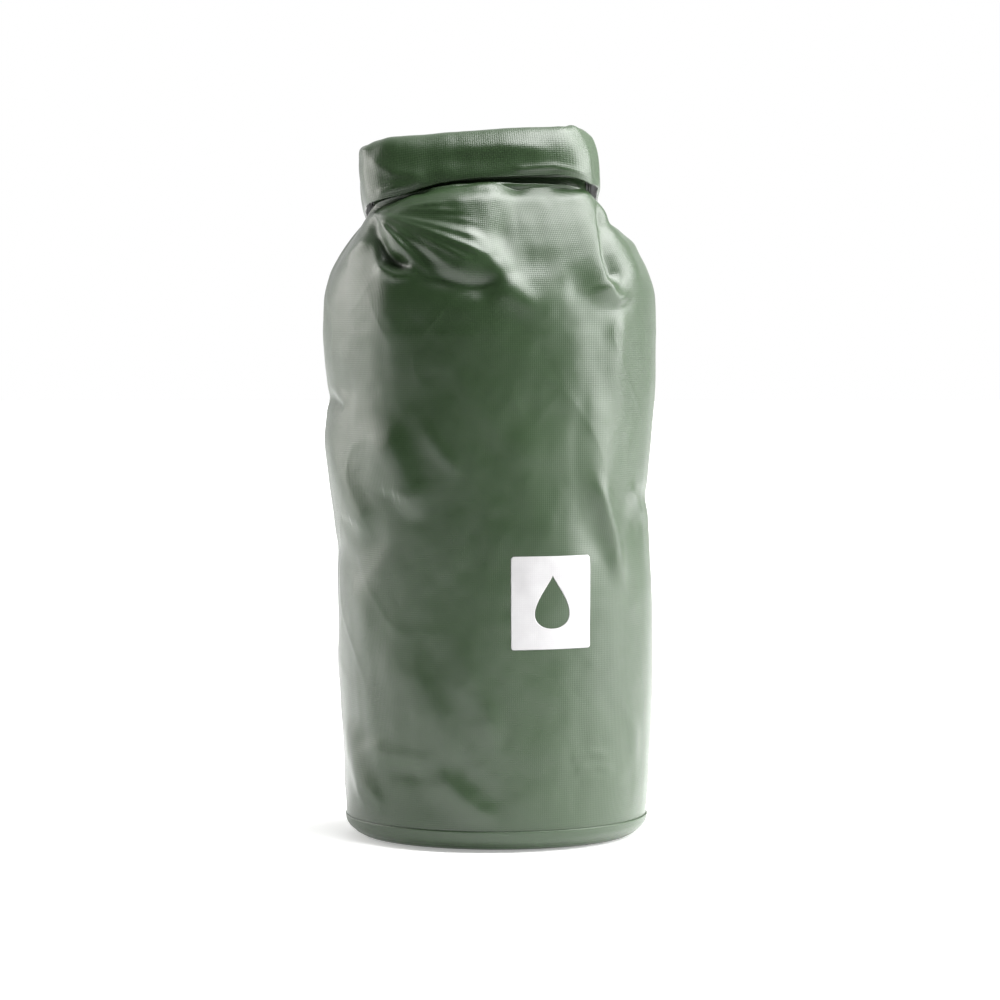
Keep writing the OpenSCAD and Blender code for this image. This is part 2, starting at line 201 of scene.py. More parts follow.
def math_node(t, op, a, b=None, c=None):
    n = add(t, "ShaderNodeMath", operation=op)
    for k, v in enumerate((a, b, c)):
        if v is None:
            continue
        if isinstance(v, (int, float)):
            n.inputs[k].default_value = v
        else:
            t.links.new(v, n.inputs[k])
    return n.outputs[0]


def ramp(t, src, stops):
    n = add(t, "ShaderNodeValToRGB")
    e = n.color_ramp.elements
    while len(e) < len(stops):
        e.new(0.5)
    for k, (p, c) in enumerate(stops):
        e[k].position, e[k].color = p, (*c, 1)
    t.links.new(src, n.inputs[0])
    return n.outputs[0]


def coated(name, dark, light, rough=0.33, pitch=1.25, weave=0.24, spec=0.5, coat=0.08):
    """PVC-coated fabric: a square weave pressed through a satin coating. UVs are in millimetres."""
    m, t, b = nodes(name)
    uv = add(t, "ShaderNodeUVMap", uv_map="UVMap")
    sep = add(t, "ShaderNodeSeparateXYZ")
    t.links.new(uv.outputs[0], sep.inputs[0])
    k = math.pi / pitch
    su = math_node(t, "ABSOLUTE", math_node(t, "SINE", math_node(t, "MULTIPLY", sep.outputs[0], k)))
    sv = math_node(t, "ABSOLUTE", math_node(t, "SINE", math_node(t, "MULTIPLY", sep.outputs[1], k)))
    su = math_node(t, "POWER", su, 0.45)
    sv = math_node(t, "POWER", sv, 0.45)
    h = math_node(t, "MULTIPLY", su, sv)
    co = add(t, "ShaderNodeTexCoord")
    n1 = add(t, "ShaderNodeTexNoise")
    n1.inputs["Scale"].default_value = 14
    n1.inputs["Detail"].default_value = 5
    t.links.new(co.outputs["Object"], n1.inputs["Vector"])
    n2 = add(t, "ShaderNodeTexNoise")
    n2.inputs["Scale"].default_value = 900
    n2.inputs["Detail"].default_value = 2
    t.links.new(co.outputs["Object"], n2.inputs["Vector"])
    base = ramp(t, n1.outputs["Fac"], [(0.32, dark), (0.68, light)])
    shade = add(t, "ShaderNodeMix", data_type="RGBA", blend_type="MULTIPLY")
    shade.inputs[0].default_value = 1
    # the weave's gaps are painted down to 0.82 of the colour of its crowns: painted shade in the hollows of the weave
    weave_gap_shade = ramp(t, h, [(0.0, (0.82, 0.82, 0.82)), (0.5, (1, 1, 1))])
    t.links.new(base, shade.inputs[6])
    t.links.new(weave_gap_shade, shade.inputs[7])
    t.links.new(shade.outputs[2], b.inputs["Base Color"])
    bump = add(t, "ShaderNodeBump")
    bump.inputs["Strength"].default_value = weave
    bump.inputs["Distance"].default_value = 0.0003
    t.links.new(h, bump.inputs["Height"])
    b2 = add(t, "ShaderNodeBump")
    b2.inputs["Strength"].default_value = 0.05
    b2.inputs["Distance"].default_value = 0.0002
    t.links.new(n2.outputs["Fac"], b2.inputs["Height"])
    t.links.new(bump.outputs[0], b2.inputs["Normal"])
    t.links.new(b2.outputs[0], b.inputs["Normal"])
    r = add(t, "ShaderNodeMapRange")
    r.inputs["From Min"].default_value, r.inputs["From Max"].default_value = 0.3, 0.7
    r.inputs["To Min"].default_value, r.inputs["To Max"].default_value = rough - 0.04, rough + 0.05
    t.links.new(n1.outputs["Fac"], r.inputs["Value"])
    t.links.new(r.outputs[0], b.inputs["Roughness"])
    b.inputs["Specular IOR Level"].default_value = spec
    b.inputs["Coat Weight"].default_value = coat
    b.inputs["Coat Roughness"].default_value = 0.3
    return m


def webbing_mat(name, dark, light):
    """Woven polyester tape: chevron rows across a flat weave. UVs are in millimetres."""
    m, t, b = nodes(name)
    uv = add(t, "ShaderNodeUVMap", uv_map="UVMap")
    sep = add(t, "ShaderNodeSeparateXYZ")
    t.links.new(uv.outputs[0], sep.inputs[0])
    u = math_node(t, "MULTIPLY", sep.outputs[0], math.pi / 1.7)
    v = math_node(t, "MULTIPLY", sep.outputs[1], math.pi / 1.15)
    tri = math_node(t, "ABSOLUTE", math_node(t, "SINE", u))
    row = math_node(t, "ABSOLUTE", math_node(t, "SINE", math_node(t, "ADD", v, math_node(t, "MULTIPLY", tri, 1.3))))
    h = math_node(t, "MULTIPLY", math_node(t, "POWER", tri, 0.4), math_node(t, "POWER", row, 0.5))
    # the tape's raised threads are painted up to four times lighter than its low places: painted light and painted
    # shade on the weave's relief
    t.links.new(ramp(t, h, [(0.05, dark), (0.8, light)]), b.inputs["Base Color"])
    bump = add(t, "ShaderNodeBump")
    bump.inputs["Strength"].default_value = 0.75
    bump.inputs["Distance"].default_value = 0.0004
    t.links.new(h, bump.inputs["Height"])
    t.links.new(bump.outputs[0], b.inputs["Normal"])
    b.inputs["Roughness"].default_value = 0.8
    b.inputs["Sheen Weight"].default_value = 0.25
    b.inputs["Sheen Roughness"].default_value = 0.5
    return m


def plastic_mat(name, color):
    m, t, b = nodes(name)
    co = add(t, "ShaderNodeTexCoord")
    n = add(t, "ShaderNodeTexNoise")
    n.inputs["Scale"].default_value = 2600
    n.inputs["Detail"].default_value = 3
    t.links.new(co.outputs["Object"], n.inputs["Vector"])
    w = add(t, "ShaderNodeTexNoise")
    w.inputs["Scale"].default_value = 60
    t.links.new(co.outputs["Object"], w.inputs["Vector"])
    c2 = tuple(min(1, c * 1.5 + 0.004) for c in color)
    t.links.new(ramp(t, w.outputs["Fac"], [(0.35, color), (0.7, c2)]), b.inputs["Base Color"])
    r = add(t, "ShaderNodeMapRange")
    r.inputs["To Min"].default_value, r.inputs["To Max"].default_value = 0.36, 0.52
    t.links.new(w.outputs["Fac"], r.inputs["Value"])
    t.links.new(r.outputs[0], b.inputs["Roughness"])
    bump = add(t, "ShaderNodeBump")
    bump.inputs["Strength"].default_value = 0.25
    bump.inputs["Distance"].default_value = 0.0001
    t.links.new(n.outputs["Fac"], bump.inputs["Height"])
    t.links.new(bump.outputs[0], b.inputs["Normal"])
    return m


def metal_mat(name):
    m, t, b = nodes(name)
    co = add(t, "ShaderNodeTexCoord")
    n = add(t, "ShaderNodeTexNoise")
    n.inputs["Scale"].default_value = 400
    n.inputs["Detail"].default_value = 4
    t.links.new(co.outputs["Object"], n.inputs["Vector"])
    t.links.new(ramp(t, n.outputs["Fac"], [(0.3, (0.46, 0.46, 0.47)), (0.7, (0.62, 0.62, 0.63))]), b.inputs["Base Color"])
    r = add(t, "ShaderNodeMapRange")
    r.inputs["To Min"].default_value, r.inputs["To Max"].default_value = 0.2, 0.38
    t.links.new(n.outputs["Fac"], r.inputs["Value"])
    t.links.new(r.outputs[0], b.inputs["Roughness"])
    b.inputs["Metallic"].default_value = 1
    return m


def thread_mat(name, color):
    m, t, b = nodes(name)
    co = add(t, "ShaderNodeTexCoord")
    n = add(t, "ShaderNodeTexWave")
    n.inputs["Scale"].default_value = 900
    t.links.new(co.outputs["Object"], n.inputs["Vector"])
    c2 = tuple(c * 1.7 for c in color)
    t.links.new(ramp(t, n.outputs["Fac"], [(0.2, color), (0.8, c2)]), b.inputs["Base Color"])
    b.inputs["Roughness"].default_value = 0.65
    b.inputs["Sheen Weight"].default_value = 0.2
    return m


GREEN_D, GREEN_L = (0.0172, 0.0362, 0.0128), (0.0208, 0.0424, 0.0155)
M_FABRIC = coated("coated_fabric", GREEN_D, GREEN_L)
M_BASE = coated("base_fabric", (0.0185, 0.0385, 0.014), (0.022, 0.045, 0.017), rough=0.38)
M_TAPE = coated("seam_tape", (0.022, 0.044, 0.017), (0.026, 0.05, 0.020), rough=0.4, weave=0.06, pitch=0.8)
M_WEB = webbing_mat("webbing", (0.005, 0.005, 0.006), (0.02, 0.02, 0.0215))
M_PLASTIC = plastic_mat("buckle_plastic", (0.007, 0.007, 0.0075))
M_METAL = metal_mat("ring_metal")
M_THREAD = thread_mat("stitching", (0.02, 0.03, 0.02))
M_STIFF = plastic_mat("stiffener_plastic", (0.02, 0.02, 0.021))

# ------------------------------------------------------------------ the front view that the folds are laid out in
VIEW_POS, VIEW_F, VIEW_E = np.array([2.1, -2200.0, 320.0]), 3705.0, math.radians(3.16)


def view_xy(P):
    """Where a point lies in the front view, on a frame 1000 wide and 1000 tall."""
    d = P - VIEW_POS
    f = d[..., 1] * math.cos(VIEW_E) - d[..., 2] * math.sin(VIEW_E)
    u = d[..., 1] * math.sin(VIEW_E) + d[..., 2] * math.cos(VIEW_E)
    return 500 + VIEW_F * d[..., 0] / f, 500 - VIEW_F * u / f


def along(X, Y, pts):
    """Distance from a polyline, signed (positive to the right of its direction on screen), and share of its length."""
    pts = np.asarray(pts, float)
    seg = np.linalg.norm(np.diff(pts, axis=0), axis=1)
    cum = np.concatenate([[0], np.cumsum(seg)])
    best = np.full(X.shape, 1e9)
    side = np.zeros(X.shape)
    share = np.zeros(X.shape)
    for k in range(len(seg)):
        a, d = pts[k], (pts[k + 1] - pts[k]) / seg[k]
        t = np.clip((X - a[0]) * d[0] + (Y - a[1]) * d[1], 0, seg[k])
        dx, dy = X - a[0] - t * d[0], Y - a[1] - t * d[1]
        r = np.hypot(dx, dy)
        m = r < best
        best = np.where(m, r, best)
        side = np.where(m, np.sign(dy * d[0] - dx * d[1]), side)
        share = np.where(m, (cum[k] + t) / cum[-1], share)
    return best, side, share


def ridge(X, Y, pts, w0, w1, h, fade=0.25, head=0.15):
    r, _, q = along(X, Y, pts)
    w = w0 + (w1 - w0) * q
    return h * np.exp(-(r / w) ** 2) * smooth(-0.001, head, q) * (1 - smooth(1 - fade, 1.001, q))


def fold(X, Y, pts, h, w_right, w_left, fade=0.25, head=0.2, drop=0.0):
    """A ridge that may be steep on one side; right and left are as seen when walking along it on the screen."""
    r, sd, q = along(X, Y, pts)
    right, left = np.exp(-(r / w_right) ** 2), np.exp(-(r / w_left) ** 2)
    left_side = left - drop * (1 - np.exp(-(r / w_left) ** 2)) * np.exp(-(r / (w_left * 3.2)) ** 2)
    return h * np.where(sd > 0, right, left_side) * smooth(-0.001, head, q) * (1 - smooth(1 - fade, 1.001, q))


def dent(X, Y, x, y, rx, ry, h, turn=0.0):
    c, s = math.cos(turn), math.sin(turn)
    dx, dy = (X - x) * c + (Y - y) * s, -(X - x) * s + (Y - y) * c
    return h * np.exp(-(dx / rx) ** 2 - (dy / ry) ** 2)


# ------------------------------------------------------------------ the wall
n_out, n_in = int(700 * RES), int(170 * RES)
a_out = np.linspace(134.0, 406.0, n_out + 1)
a_in = np.linspace(410.0, 490.0, n_in + 1)
s_out = (a_out - 270) / 136 * NECK_END
s_in = (450 - a_in) / 40 * NECK_END
col_a = np.concatenate([a_out, [408.0], a_in, [492.0]])
nx1, ny1 = line_pt(s_out, NECK_HALF)
nx2, ny2 = line_pt(s_in, -NECK_HALF)
tx, ty = line_pt(np.array([NECK_END + NECK_HALF]), 0.0)
col_nx = np.concatenate([nx1, tx, nx2, -tx])
col_ny = np.concatenate([ny1, ty, ny2, ty])
col_s = np.concatenate([s_out, [NECK_END], s_in, [-NECK_END]])
C = len(col_a)
ca, sa = np.cos(np.radians(col_a)), np.sin(np.radians(col_a))

rows_body = np.concatenate([np.linspace(9.4, 30, int(14 * RES) + 2), np.linspace(31.5, SHOULDER_Z, int(175 * RES))])
rows_q = np.linspace(0, 1, int(150 * RES) + 1)[1:]
rows_neck = np.linspace(NECK_FOOT, 29.5, 14)[1:]

left_off = curve([9, 40, 69, 116, 150, 164, 190, 211, 232, 250, 264, 282, 298],
                 [0.2, 0.2, 0.4, 0.8, 0.2, -0.2, 0.9, 2.4, 3.0, 1.6, 0.6, 1.8, 1.6], rows_body)
right_off = curve([9, 30, 69, 116, 150, 164, 188, 211, 235, 259, 282, 298],
                  [0.2, 0.8, 2.0, 2.3, 1.8, 1.1, -0.4, -1.0, 0.0, 0.7, 0.9, 1.0], rows_body)
left_w = np.clip(-ca, 0, 1)[None, :] ** 2
right_w = np.clip(ca, 0, 1)[None, :] ** 2
R = wall_r(rows_body)[:, None] + left_off[:, None] * left_w + right_off[:, None] * right_w
Z = np.repeat(rows_body[:, None], C, 1)
body = np.stack([R * ca - LEAN_X * Z / SHOULDER_Z, R * sa, Z], -1)

# shoulder: the wall closes in to the flattened neck, along one profile at the sides, one in front and one behind
foot = np.stack(in_roll(col_nx, col_ny, np.full(C, NECK_FOOT)), -1)
k7 = np.linspace(0, 1, 8)
side_p = ([0, .02, .14, .33, .58, .80, .95, 1], [0, .26, .47, .63, .78, .89, .965, 1])
front_p = ([0, .02, .07, .20, .40, .61, .80, 1], [0, .19, .36, .56, .79, .985, 1.06, 1])
back_p = ([0, .03, .12, .28, .46, .66, .85, 1], [0, .17, .33, .50, .645, .79, .91, 1])
wf, wb = np.clip(-sa, 0, 1) ** 2, np.clip(sa, 0, 1) ** 2
ws = 1 - wf - wb


def prof(k):
    return (curve(k7, side_p[k], rows_q)[:, None] * ws + curve(k7, front_p[k], rows_q)[:, None] * wf
            + curve(k7, back_p[k], rows_q)[:, None] * wb)


W, V = prof(0), prof(1)
rim = body[-1]
dome = np.empty((len(rows_q), C, 3))
dome[..., 0] = rim[:, 0] + (foot[:, 0] - rim[:, 0]) * W
dome[..., 1] = rim[:, 1] + (foot[:, 1] - rim[:, 1]) * W
dome[..., 2] = SHOULDER_Z + (foot[:, 2] - SHOULDER_Z) * V
neck = np.stack([np.stack(in_roll(col_nx, col_ny, np.full(C, z)), -1) for z in rows_neck])
P0 = np.concatenate([body, dome, neck])
n_b, n_d, n_n = len(rows_body), len(rows_q), len(rows_neck)
ROWS = n_b + n_d + n_n
N0 = grid_normals(P0, True)
# how far up a point is: 0 at the base, 1 at the rim of the shoulder, 2 at the foot of the neck, 3 at its top
level = np.concatenate([(rows_body - 9.4) / (SHOULDER_Z - 9.4), 1 + rows_q, 2 + (rows_neck - NECK_FOOT) / 32])[:, None]
X, Y = view_xy(P0)
facing = smooth(0.10, 0.48, -N0[..., 1])
rim_on = smooth(-0.45, 0.05, -N0[..., 1])
front = smooth(0.0, 0.35, -np.broadcast_to(sa, (ROWS, C)))

D = np.zeros((ROWS, C))
arc = np.broadcast_to(np.radians(col_a) * 96, (ROWS, C))
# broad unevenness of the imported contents, all round
D += 1.1 * vnoise(arc / 70 + 3, P0[..., 2] / 85 + 7, 11) + 0.55 * vnoise(arc / 30, P0[..., 2] / 44, 12)
D += 0.22 * vnoise(arc / 11, P0[..., 2] / 26, 13)
# long soft creases of a bag that has been rolled up and unrolled many times, mostly at the sides and the back
back_on = smooth(-0.25, 0.35, np.broadcast_to(sa, (ROWS, C))) * 0.8 + 0.2
cr = (1 - np.abs(vnoise(arc / 46 + P0[..., 2] / 58 + 5, P0[..., 2] / 64 - arc / 170 + 9, 14))) ** 9
cr2 = (1 - np.abs(vnoise(arc / 52 - P0[..., 2] / 66 + 31, P0[..., 2] / 72 + arc / 150 + 17, 15))) ** 11
D += back_on * (1.5 * cr * smooth(-0.1, 0.5, vnoise(arc / 60 + 2, P0[..., 2] / 70, 16))
                + 1.2 * cr2 * smooth(-0.1, 0.5, vnoise(arc / 55 + 22, P0[..., 2] / 62, 17))) * (1 - smooth(1.0, 1.5, level))
# radial folds gathered under the roll, at the sides and the back
gather = smooth(1.0, 1.75, level) * (1 - 0.95 * front)
turns = col_s / 9.5
D += gather * (2.0 * vnoise(np.broadcast_to(turns, (ROWS, C)), level * 1.3, 21)
               + 0.9 * vnoise(np.broadcast_to(turns * 2.1, (ROWS, C)), level * 2.0, 22))

# --- left shoulder: pleats that fan out of the roll's lower left corner
F = np.zeros((ROWS, C))
ox, oy = 374.0, 213.0
rho, phi = np.hypot(X - ox, Y - oy), np.degrees(np.arctan2(Y - oy, X - ox))


def lobe(mid, up, low, reach, h, round_=0.16, power=1.5):
    """A pleat: a ridge that widens away from the corner and ends in a rounded tip; up and low are its two half widths."""
    t = np.where(phi < mid, (mid - phi) / up, (phi - mid) / low)
    cross = np.where(t < 1, np.cos(np.clip(t, 0, 1) * math.pi / 2) ** power, 0)
    grow = smooth(0.0, 0.8, rho / reach)
    end = 1 - smooth(1 - round_, 1 + round_ * 0.35, rho / (reach * (1 - 0.2 * t * t)))
    return h * cross * (0.22 + 0.78 * grow) * end


# the cloth comes out of the roll well forward here and falls back as it goes down, up to the line where the big pleat ends
edge_x = 474 + (Y - 217) * 0.44
gap_y = np.interp(X, [366, 377, 395, 414, 430, 451, 500], [216, 209.5, 201, 192, 188, 185, 180])
soft = 10 + 50 * np.clip((258 - Y) / 60, 0, 1)
F += 5.8 * np.clip((284 - Y) / 88, 0, 1) * smooth(370, 392, X) * (1 - smooth(0, 1, (X - edge_x + 0.35 * soft) / (1.35 * soft))) * smooth(1, 22, Y - gap_y)
F += lobe(24, 17, 20, 124, 3.8, 0.16, 1.2)
F += lobe(42, 12, 20, 62, 4.0, 0.45, 1.0)
for mid, half, reach, h in ((14, 2.6, 114, 1.0), (21, 2.8, 122, 1.3), (27.5, 2.8, 112, 0.8), (6.5, 2.4, 108, 0.6),
                            (35, 3.0, 96, 0.5), (48, 4.5, 56, 0.8), (1, 2.6, 88, 0.9), (-5, 2.6, 74, 0.7)):
    F += lobe(mid, half, half * 1.2, reach, h, 0.2, 1.2)
F -= 1.7 * np.exp(-((phi - 40) / 5) ** 2) * smooth(6, 36, rho) * (1 - smooth(66, 108, rho))
F += dent(X, Y, 397, 262, 13, 7, -6.0, 0.45) + dent(X, Y, 384, 247, 6, 15, -4.5, -0.45)
F += ridge(X, Y, [(376, 262), (386, 271), (398, 276), (410, 274), (418, 265)], 5, 8, 2.0, 0.3, 0.25)
F += dent(X, Y, 486, 285, 28, 9, -2.6, -0.35) + dent(X, Y, 438, 279, 36, 9, -2.4, 0.22)
F += ridge(X, Y, [(340, 262), (360, 246), (372, 236)], 7, 6, 1.2, 0.3, 0.3)
# --- middle and right of the shoulder
F += fold(X, Y, [(490, 230), (495, 254), (505, 276), (524, 298), (550, 328)], 2.2, 14, 11, 0.5, 0.3)
F += dent(X, Y, 538, 262, 22, 16, -1.3) + dent(X, Y, 582, 284, 12, 18, -1.2, 0.3)
F += dent(X, Y, 503, 288, 15, 17, 2.0) + dent(X, Y, 500, 236, 10, 15, -1.0)
F -= 2.6 * (1 - smooth(196, 282, Y)) * smooth(486, 520, X) * (1 - smooth(596, 616, X))
F += dent(X, Y, 572, 218, 26, 34, 1.6) + dent(X, Y, 548, 302, 34, 18, 1.2) 
r, sd, q = along(X, Y, [(588, 182), (592, 206), (595, 234), (597, 256), (603, 279), (618, 306)])
d = r * -sd
w = smooth(-0.01, 0.12, q) * (1 - smooth(0.72, 1.0, q))
F += w * np.where(d < 0, 3.4 * np.exp(-(d / 19) ** 2), 3.4 - 10.5 * (1 - np.exp(-(d / 7.0) ** 2)) * np.exp(-(d / 21) ** 2) - 3.4 * smooth(18, 40, d))
F += dent(X, Y, 636, 264, 12, 24, 2.0)
F += ridge(X, Y, [(608, 276), (616, 294), (626, 306)], 15, 8, 2.8, 0.3, 0.3) + dent(X, Y, 592, 302, 12, 14, -0.9)
SIL = dent(X, Y, 612, 203, 9, 8, 2.6) + dent(X, Y, 612, 222, 8, 7, -1.6) + dent(X, Y, 634, 243, 10, 10, 2.0)
SIL += dent(X, Y, 378, 226, 7, 8, -1.8) + dent(X, Y, 648, 497, 9, 12, -1.6) + dent(X, Y, 329, 398, 6, 7, -1.5) + dent(X, Y, 334, 548, 9, 12, -0.9)
SIL += dent(X, Y, 648, 720, 14, 90, 1.1) + dent(X, Y, 328, 440, 10, 22, 0.8) + dent(X, Y, 653, 380, 9, 30, 0.9)
# the shoulder's edge in front of the roll is uneven
F += dent(X, Y, 424, 192, 9, 6, -1.6) + dent(X, Y, 474, 182, 14, 6, 1.2) + dent(X, Y, 517, 184, 12, 6, -1.2) + dent(X, Y, 543, 178, 12, 6, 1.3) + dent(X, Y, 565, 183, 9, 6, -0.9)
in_gap = (1 - smooth(-4, 5, Y - gap_y)) * (1 - smooth(470, 500, X)) * smooth(1.2, 1.5, level)
F = F * (1 - in_gap) - 3.0 * in_gap + 0.9 * np.exp(-((Y - gap_y - 8) / 3.5) ** 2) * smooth(376, 386, X) * (1 - smooth(420, 460, X)) * smooth(1.2, 1.5, level)
F += ridge(X, Y, [(621, 300), (618, 340), (615, 400)], 11, 12, 2.1, 0.4, 0.3)
# --- body, left
F += fold(X, Y, [(327, 436), (338, 466), (350, 492), (361, 514), (361, 525), (350, 533)], 2.3, 17, 10, 0.2, 0.3, 0.0)
F += fold(X, Y, [(374, 412), (394, 452), (411, 488), (411, 502), (398, 513)], 2.9, 26, 15, 0.2, 0.35, 0.0)
F += fold(X, Y, [(416, 416), (438, 448), (466, 482)], 1.1, 10, 8, 0.4, 0.4)
F += ridge(X, Y, [(325, 392), (334, 402), (342, 409)], 3.2, 3.2, -2.2, 0.3, 0.1) + ridge(X, Y, [(326, 384), (338, 396), (348, 404)], 4, 4, 1.0)
F += dent(X, Y, 374, 540, 16, 18, -1.6) + dent(X, Y, 352, 570, 14, 24, -1.4, 0.2)
F += ridge(X, Y, [(342, 560), (360, 600), (372, 650)], 10, 12, 0.8, 0.4, 0.3)
F += fold(X, Y, [(343, 716), (351, 750), (366, 790), (384, 818)], 3.0, 8, 10, 0.15, 0.2, 0.15)
F += fold(X, Y, [(362, 736), (380, 756), (420, 764), (446, 762)], 1.5, 12, 9, 0.3, 0.2, 0.1)
F += dent(X, Y, 406, 770, 26, 12, -2.2, 0.1) + fold(X, Y, [(430, 762), (448, 786), (474, 812), (500, 828)], 2.3, 16, 12, 0.2, 0.3, 0.15)
for k in range(2):
    F += fold(X, Y, [(394 + 52 * k, 640 - 24 * k), (430 + 46 * k, 706 - 14 * k), (478 + 32 * k, 786)], 0.9, 20, 13, 0.4, 0.4)
# --- body, right
F += fold(X, Y, [(592, 466), (604, 506), (616, 546), (621, 594)], 2.8, 8, 10, 0.3, 0.3, 0.2)
F += dent(X, Y, 602, 468, 20, 46, 2.4) + dent(X, Y, 388, 312, 16, 40, 1.7)
F += dent(X, Y, 637, 522, 11, 24, -2.6) + dent(X, Y, 592, 536, 12, 30, -1.2, -0.3)
F += ridge(X, Y, [(628, 486), (640, 500), (650, 520)], 5, 5, 1.5)
F += ridge(X, Y, [(570, 760), (590, 752), (612, 757)], 3.4, 3, 0.5) + ridge(X, Y, [(574, 772), (596, 766), (616, 770)], 3.4, 3, 0.45)
F += ridge(X, Y, [(580, 783), (598, 778), (612, 780)], 3, 3, 0.3) + ridge(X, Y, [(622, 690), (632, 730), (634, 776)], 6, 6, 0.9, 0.4, 0.4)
F += fold(X, Y, [(560, 660), (566, 720), (560, 790)], 0.6, 16, 10, 0.5, 0.4)
F += 0.28 * vnoise(X / 26, Y / 30, 71) + 0.12 * vnoise(X / 11, Y / 13, 72)
D += (F * facing + SIL * rim_on) * (1 - smooth(1.93, 2.0, level))
# nothing moves at the base, in the neck, or under the cup
D *= smooth(0.0, 0.09, level) * (1 - smooth(1.86, 2.02, level))
D = np.where(P0[..., 2] < 40, np.minimum(D, 0.9 * smooth(14, 40, P0[..., 2]) * 4), D)
P = P0 + N0 * D[..., None]
for _ in range(2):
    Q = (np.roll(P, 1, 1) + np.roll(P, -1, 1)) * 0.25 + P * 0.5
    Q[1:-1] = Q[1:-1] * 0.5 + (P[:-2] + P[2:]) * 0.25
    Q[n_b + n_d:] = P[n_b + n_d:]
    P = Q
NRM = grid_normals(P, True)
steps = np.linalg.norm(np.diff(P0, axis=0), axis=-1)
arc_v = np.concatenate([np.zeros((1, C)), np.cumsum(steps, 0)])
arc_u = np.broadcast_to(np.radians(col_a - 270) * 95.5, (ROWS, C))


def shell(P, nrm, t):
    """Outer skin, inner skin and the two open edges of a tube of rows by columns."""
    r, c, _ = P.shape
    inner = P - nrm * t
    f = [grid_faces(r, c, True), grid_faces(r, c, True, True, r * c)]
    j = np.arange(c)
    j2 = (j + 1) % c
    f.append(np.stack([j2, j, r * c + j, r * c + j2], -1))
    top = (r - 1) * c
    f.append(np.stack([top + j, top + j2, r * c + top + j2, r * c + top + j], -1))
    return np.concatenate([P.reshape(-1, 3), inner.reshape(-1, 3)]), np.concatenate(f)


v, f = shell(P, NRM, 0.9)
uv = np.stack([arc_u, arc_v], -1).reshape(-1, 2)
# the seam of the UVs is where the last column meets the first: repeat nothing, the tip columns hide it
wall = make("wall", v, f, np.concatenate([uv, uv]), M_FABRIC, "bag")
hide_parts("wall_panel")


def on_wall(a, z):
    """Point and normal of the finished wall at direction a (degrees, 134 to 490) and height z."""
    a, z = np.broadcast_arrays(np.asarray(a, float), np.asarray(z, float))
    ci = np.interp(a, col_a, np.arange(C))
    ri = np.interp(z, rows_body, np.arange(n_b))
    c0, r0 = np.clip(ci.astype(int), 0, C - 2), np.clip(ri.astype(int), 0, n_b - 2)
    fc, fr = (ci - c0)[..., None], (ri - r0)[..., None]

    def mix(G):
        return (G[r0, c0] * (1 - fc) + G[r0, c0 + 1] * fc) * (1 - fr) + (G[r0 + 1, c0] * (1 - fc) + G[r0 + 1, c0 + 1] * fc) * fr
    n = mix(NRM)
    return mix(P), n / np.linalg.norm(n, axis=-1, keepdims=True)


def slab_on_wall(name, a0, z0, U, V, t, wrap, mat, body_, lift=0.05, edge=0.35, loops=()):
    """A flat piece laid on the wall. U, V are grids of millimetres about (a0, z0); its open edges are closed with
    straight side walls.
    """
    r, c = U.shape
    radius = wall_r(z0 + V)
    p, n = on_wall(a0 + np.degrees(U / radius), z0 + V)
    rings = [p + n * (lift + t)]
    vv, ff, uvs = [rings[0].reshape(-1, 3)], [grid_faces(r, c, wrap)], [np.stack([U, V], -1).reshape(-1, 2)]
    low = (p + n * lift - n * 0.15).reshape(-1, 3)
    vv.append(low)
    uvs.append(uvs[0])
    ff.append(grid_faces(r, c, wrap, True, r * c))
    j = np.arange(c if wrap else c - 1)
    j2 = (j + 1) % c
    k, last = r * c, (r - 1) * c
    ff.append(np.stack([j2, j, k + j, k + j2], -1))
    ff.append(np.stack([last + j, last + j2, k + last + j2, k + last + j], -1))
    if not wrap:
        i = np.arange(r - 1)
        ff.append(np.stack([i * c, (i + 1) * c, k + (i + 1) * c, k + i * c], -1))
        e = c - 1
        ff.append(np.stack([(i + 1) * c + e, i * c + e, k + i * c + e, k + (i + 1) * c + e], -1))
    return make(name, np.concatenate(vv), np.concatenate(ff), np.concatenate(uvs), mat, body_)


# --- the printed patch: a pale square with rounded corners and a plain drop left open in it
def rounded_at(th, hw, hh, r):
    """The point of a rounded rectangle's outline at angle th."""
    c, sn = math.cos(th), math.sin(th)
    lo_, hi_ = 0.0, 400.0
    for _ in range(40):
        m = (lo_ + hi_) / 2
        px, py = abs(c * m), abs(sn * m)
        dx, dy = px - (hw - r), py - (hh - r)
        inside = math.hypot(dx, dy) <= r if (dx > 0 and dy > 0) else (px <= hw and py <= hh)
        lo_, hi_ = (m, hi_) if inside else (lo_, m)
    return c * lo_, sn * lo_


n_p, m_p = 240, 36
tt = np.linspace(0, 2 * math.pi, n_p, endpoint=False)
# a plain water drop: pointed above, round below
inner_l = np.stack([-15.5 * np.sin(tt) * np.sin(tt / 2) ** 1.6, 15.5 * np.cos(tt) + 0.5], -1)
ang = np.unwrap(np.arctan2(inner_l[:, 1], inner_l[:, 0]))
outer_l = np.array([rounded_at(t_, 24.6, 26.8, 1.4) for t_ in ang])
k = np.linspace(0, 1, m_p)[:, None, None]
G = inner_l[None] * (1 - k) + outer_l[None] * k
px0, pz0 = 26.0, 140.0
U, V = G[..., 0], G[..., 1]
mark = slab_on_wall("print_mark", px0 + 265.5, pz0 + 4.4, U, V, 0.14, True, None, "bag", lift=0.06)


def tidy(ob):
    """Faces of a closed piece all turned outwards."""
    import bmesh
    bm = bmesh.new()
    bm.from_mesh(ob.data)
    bmesh.ops.recalc_face_normals(bm, faces=bm.faces)
    bm.to_mesh(ob.data)
    bm.free()
    return ob


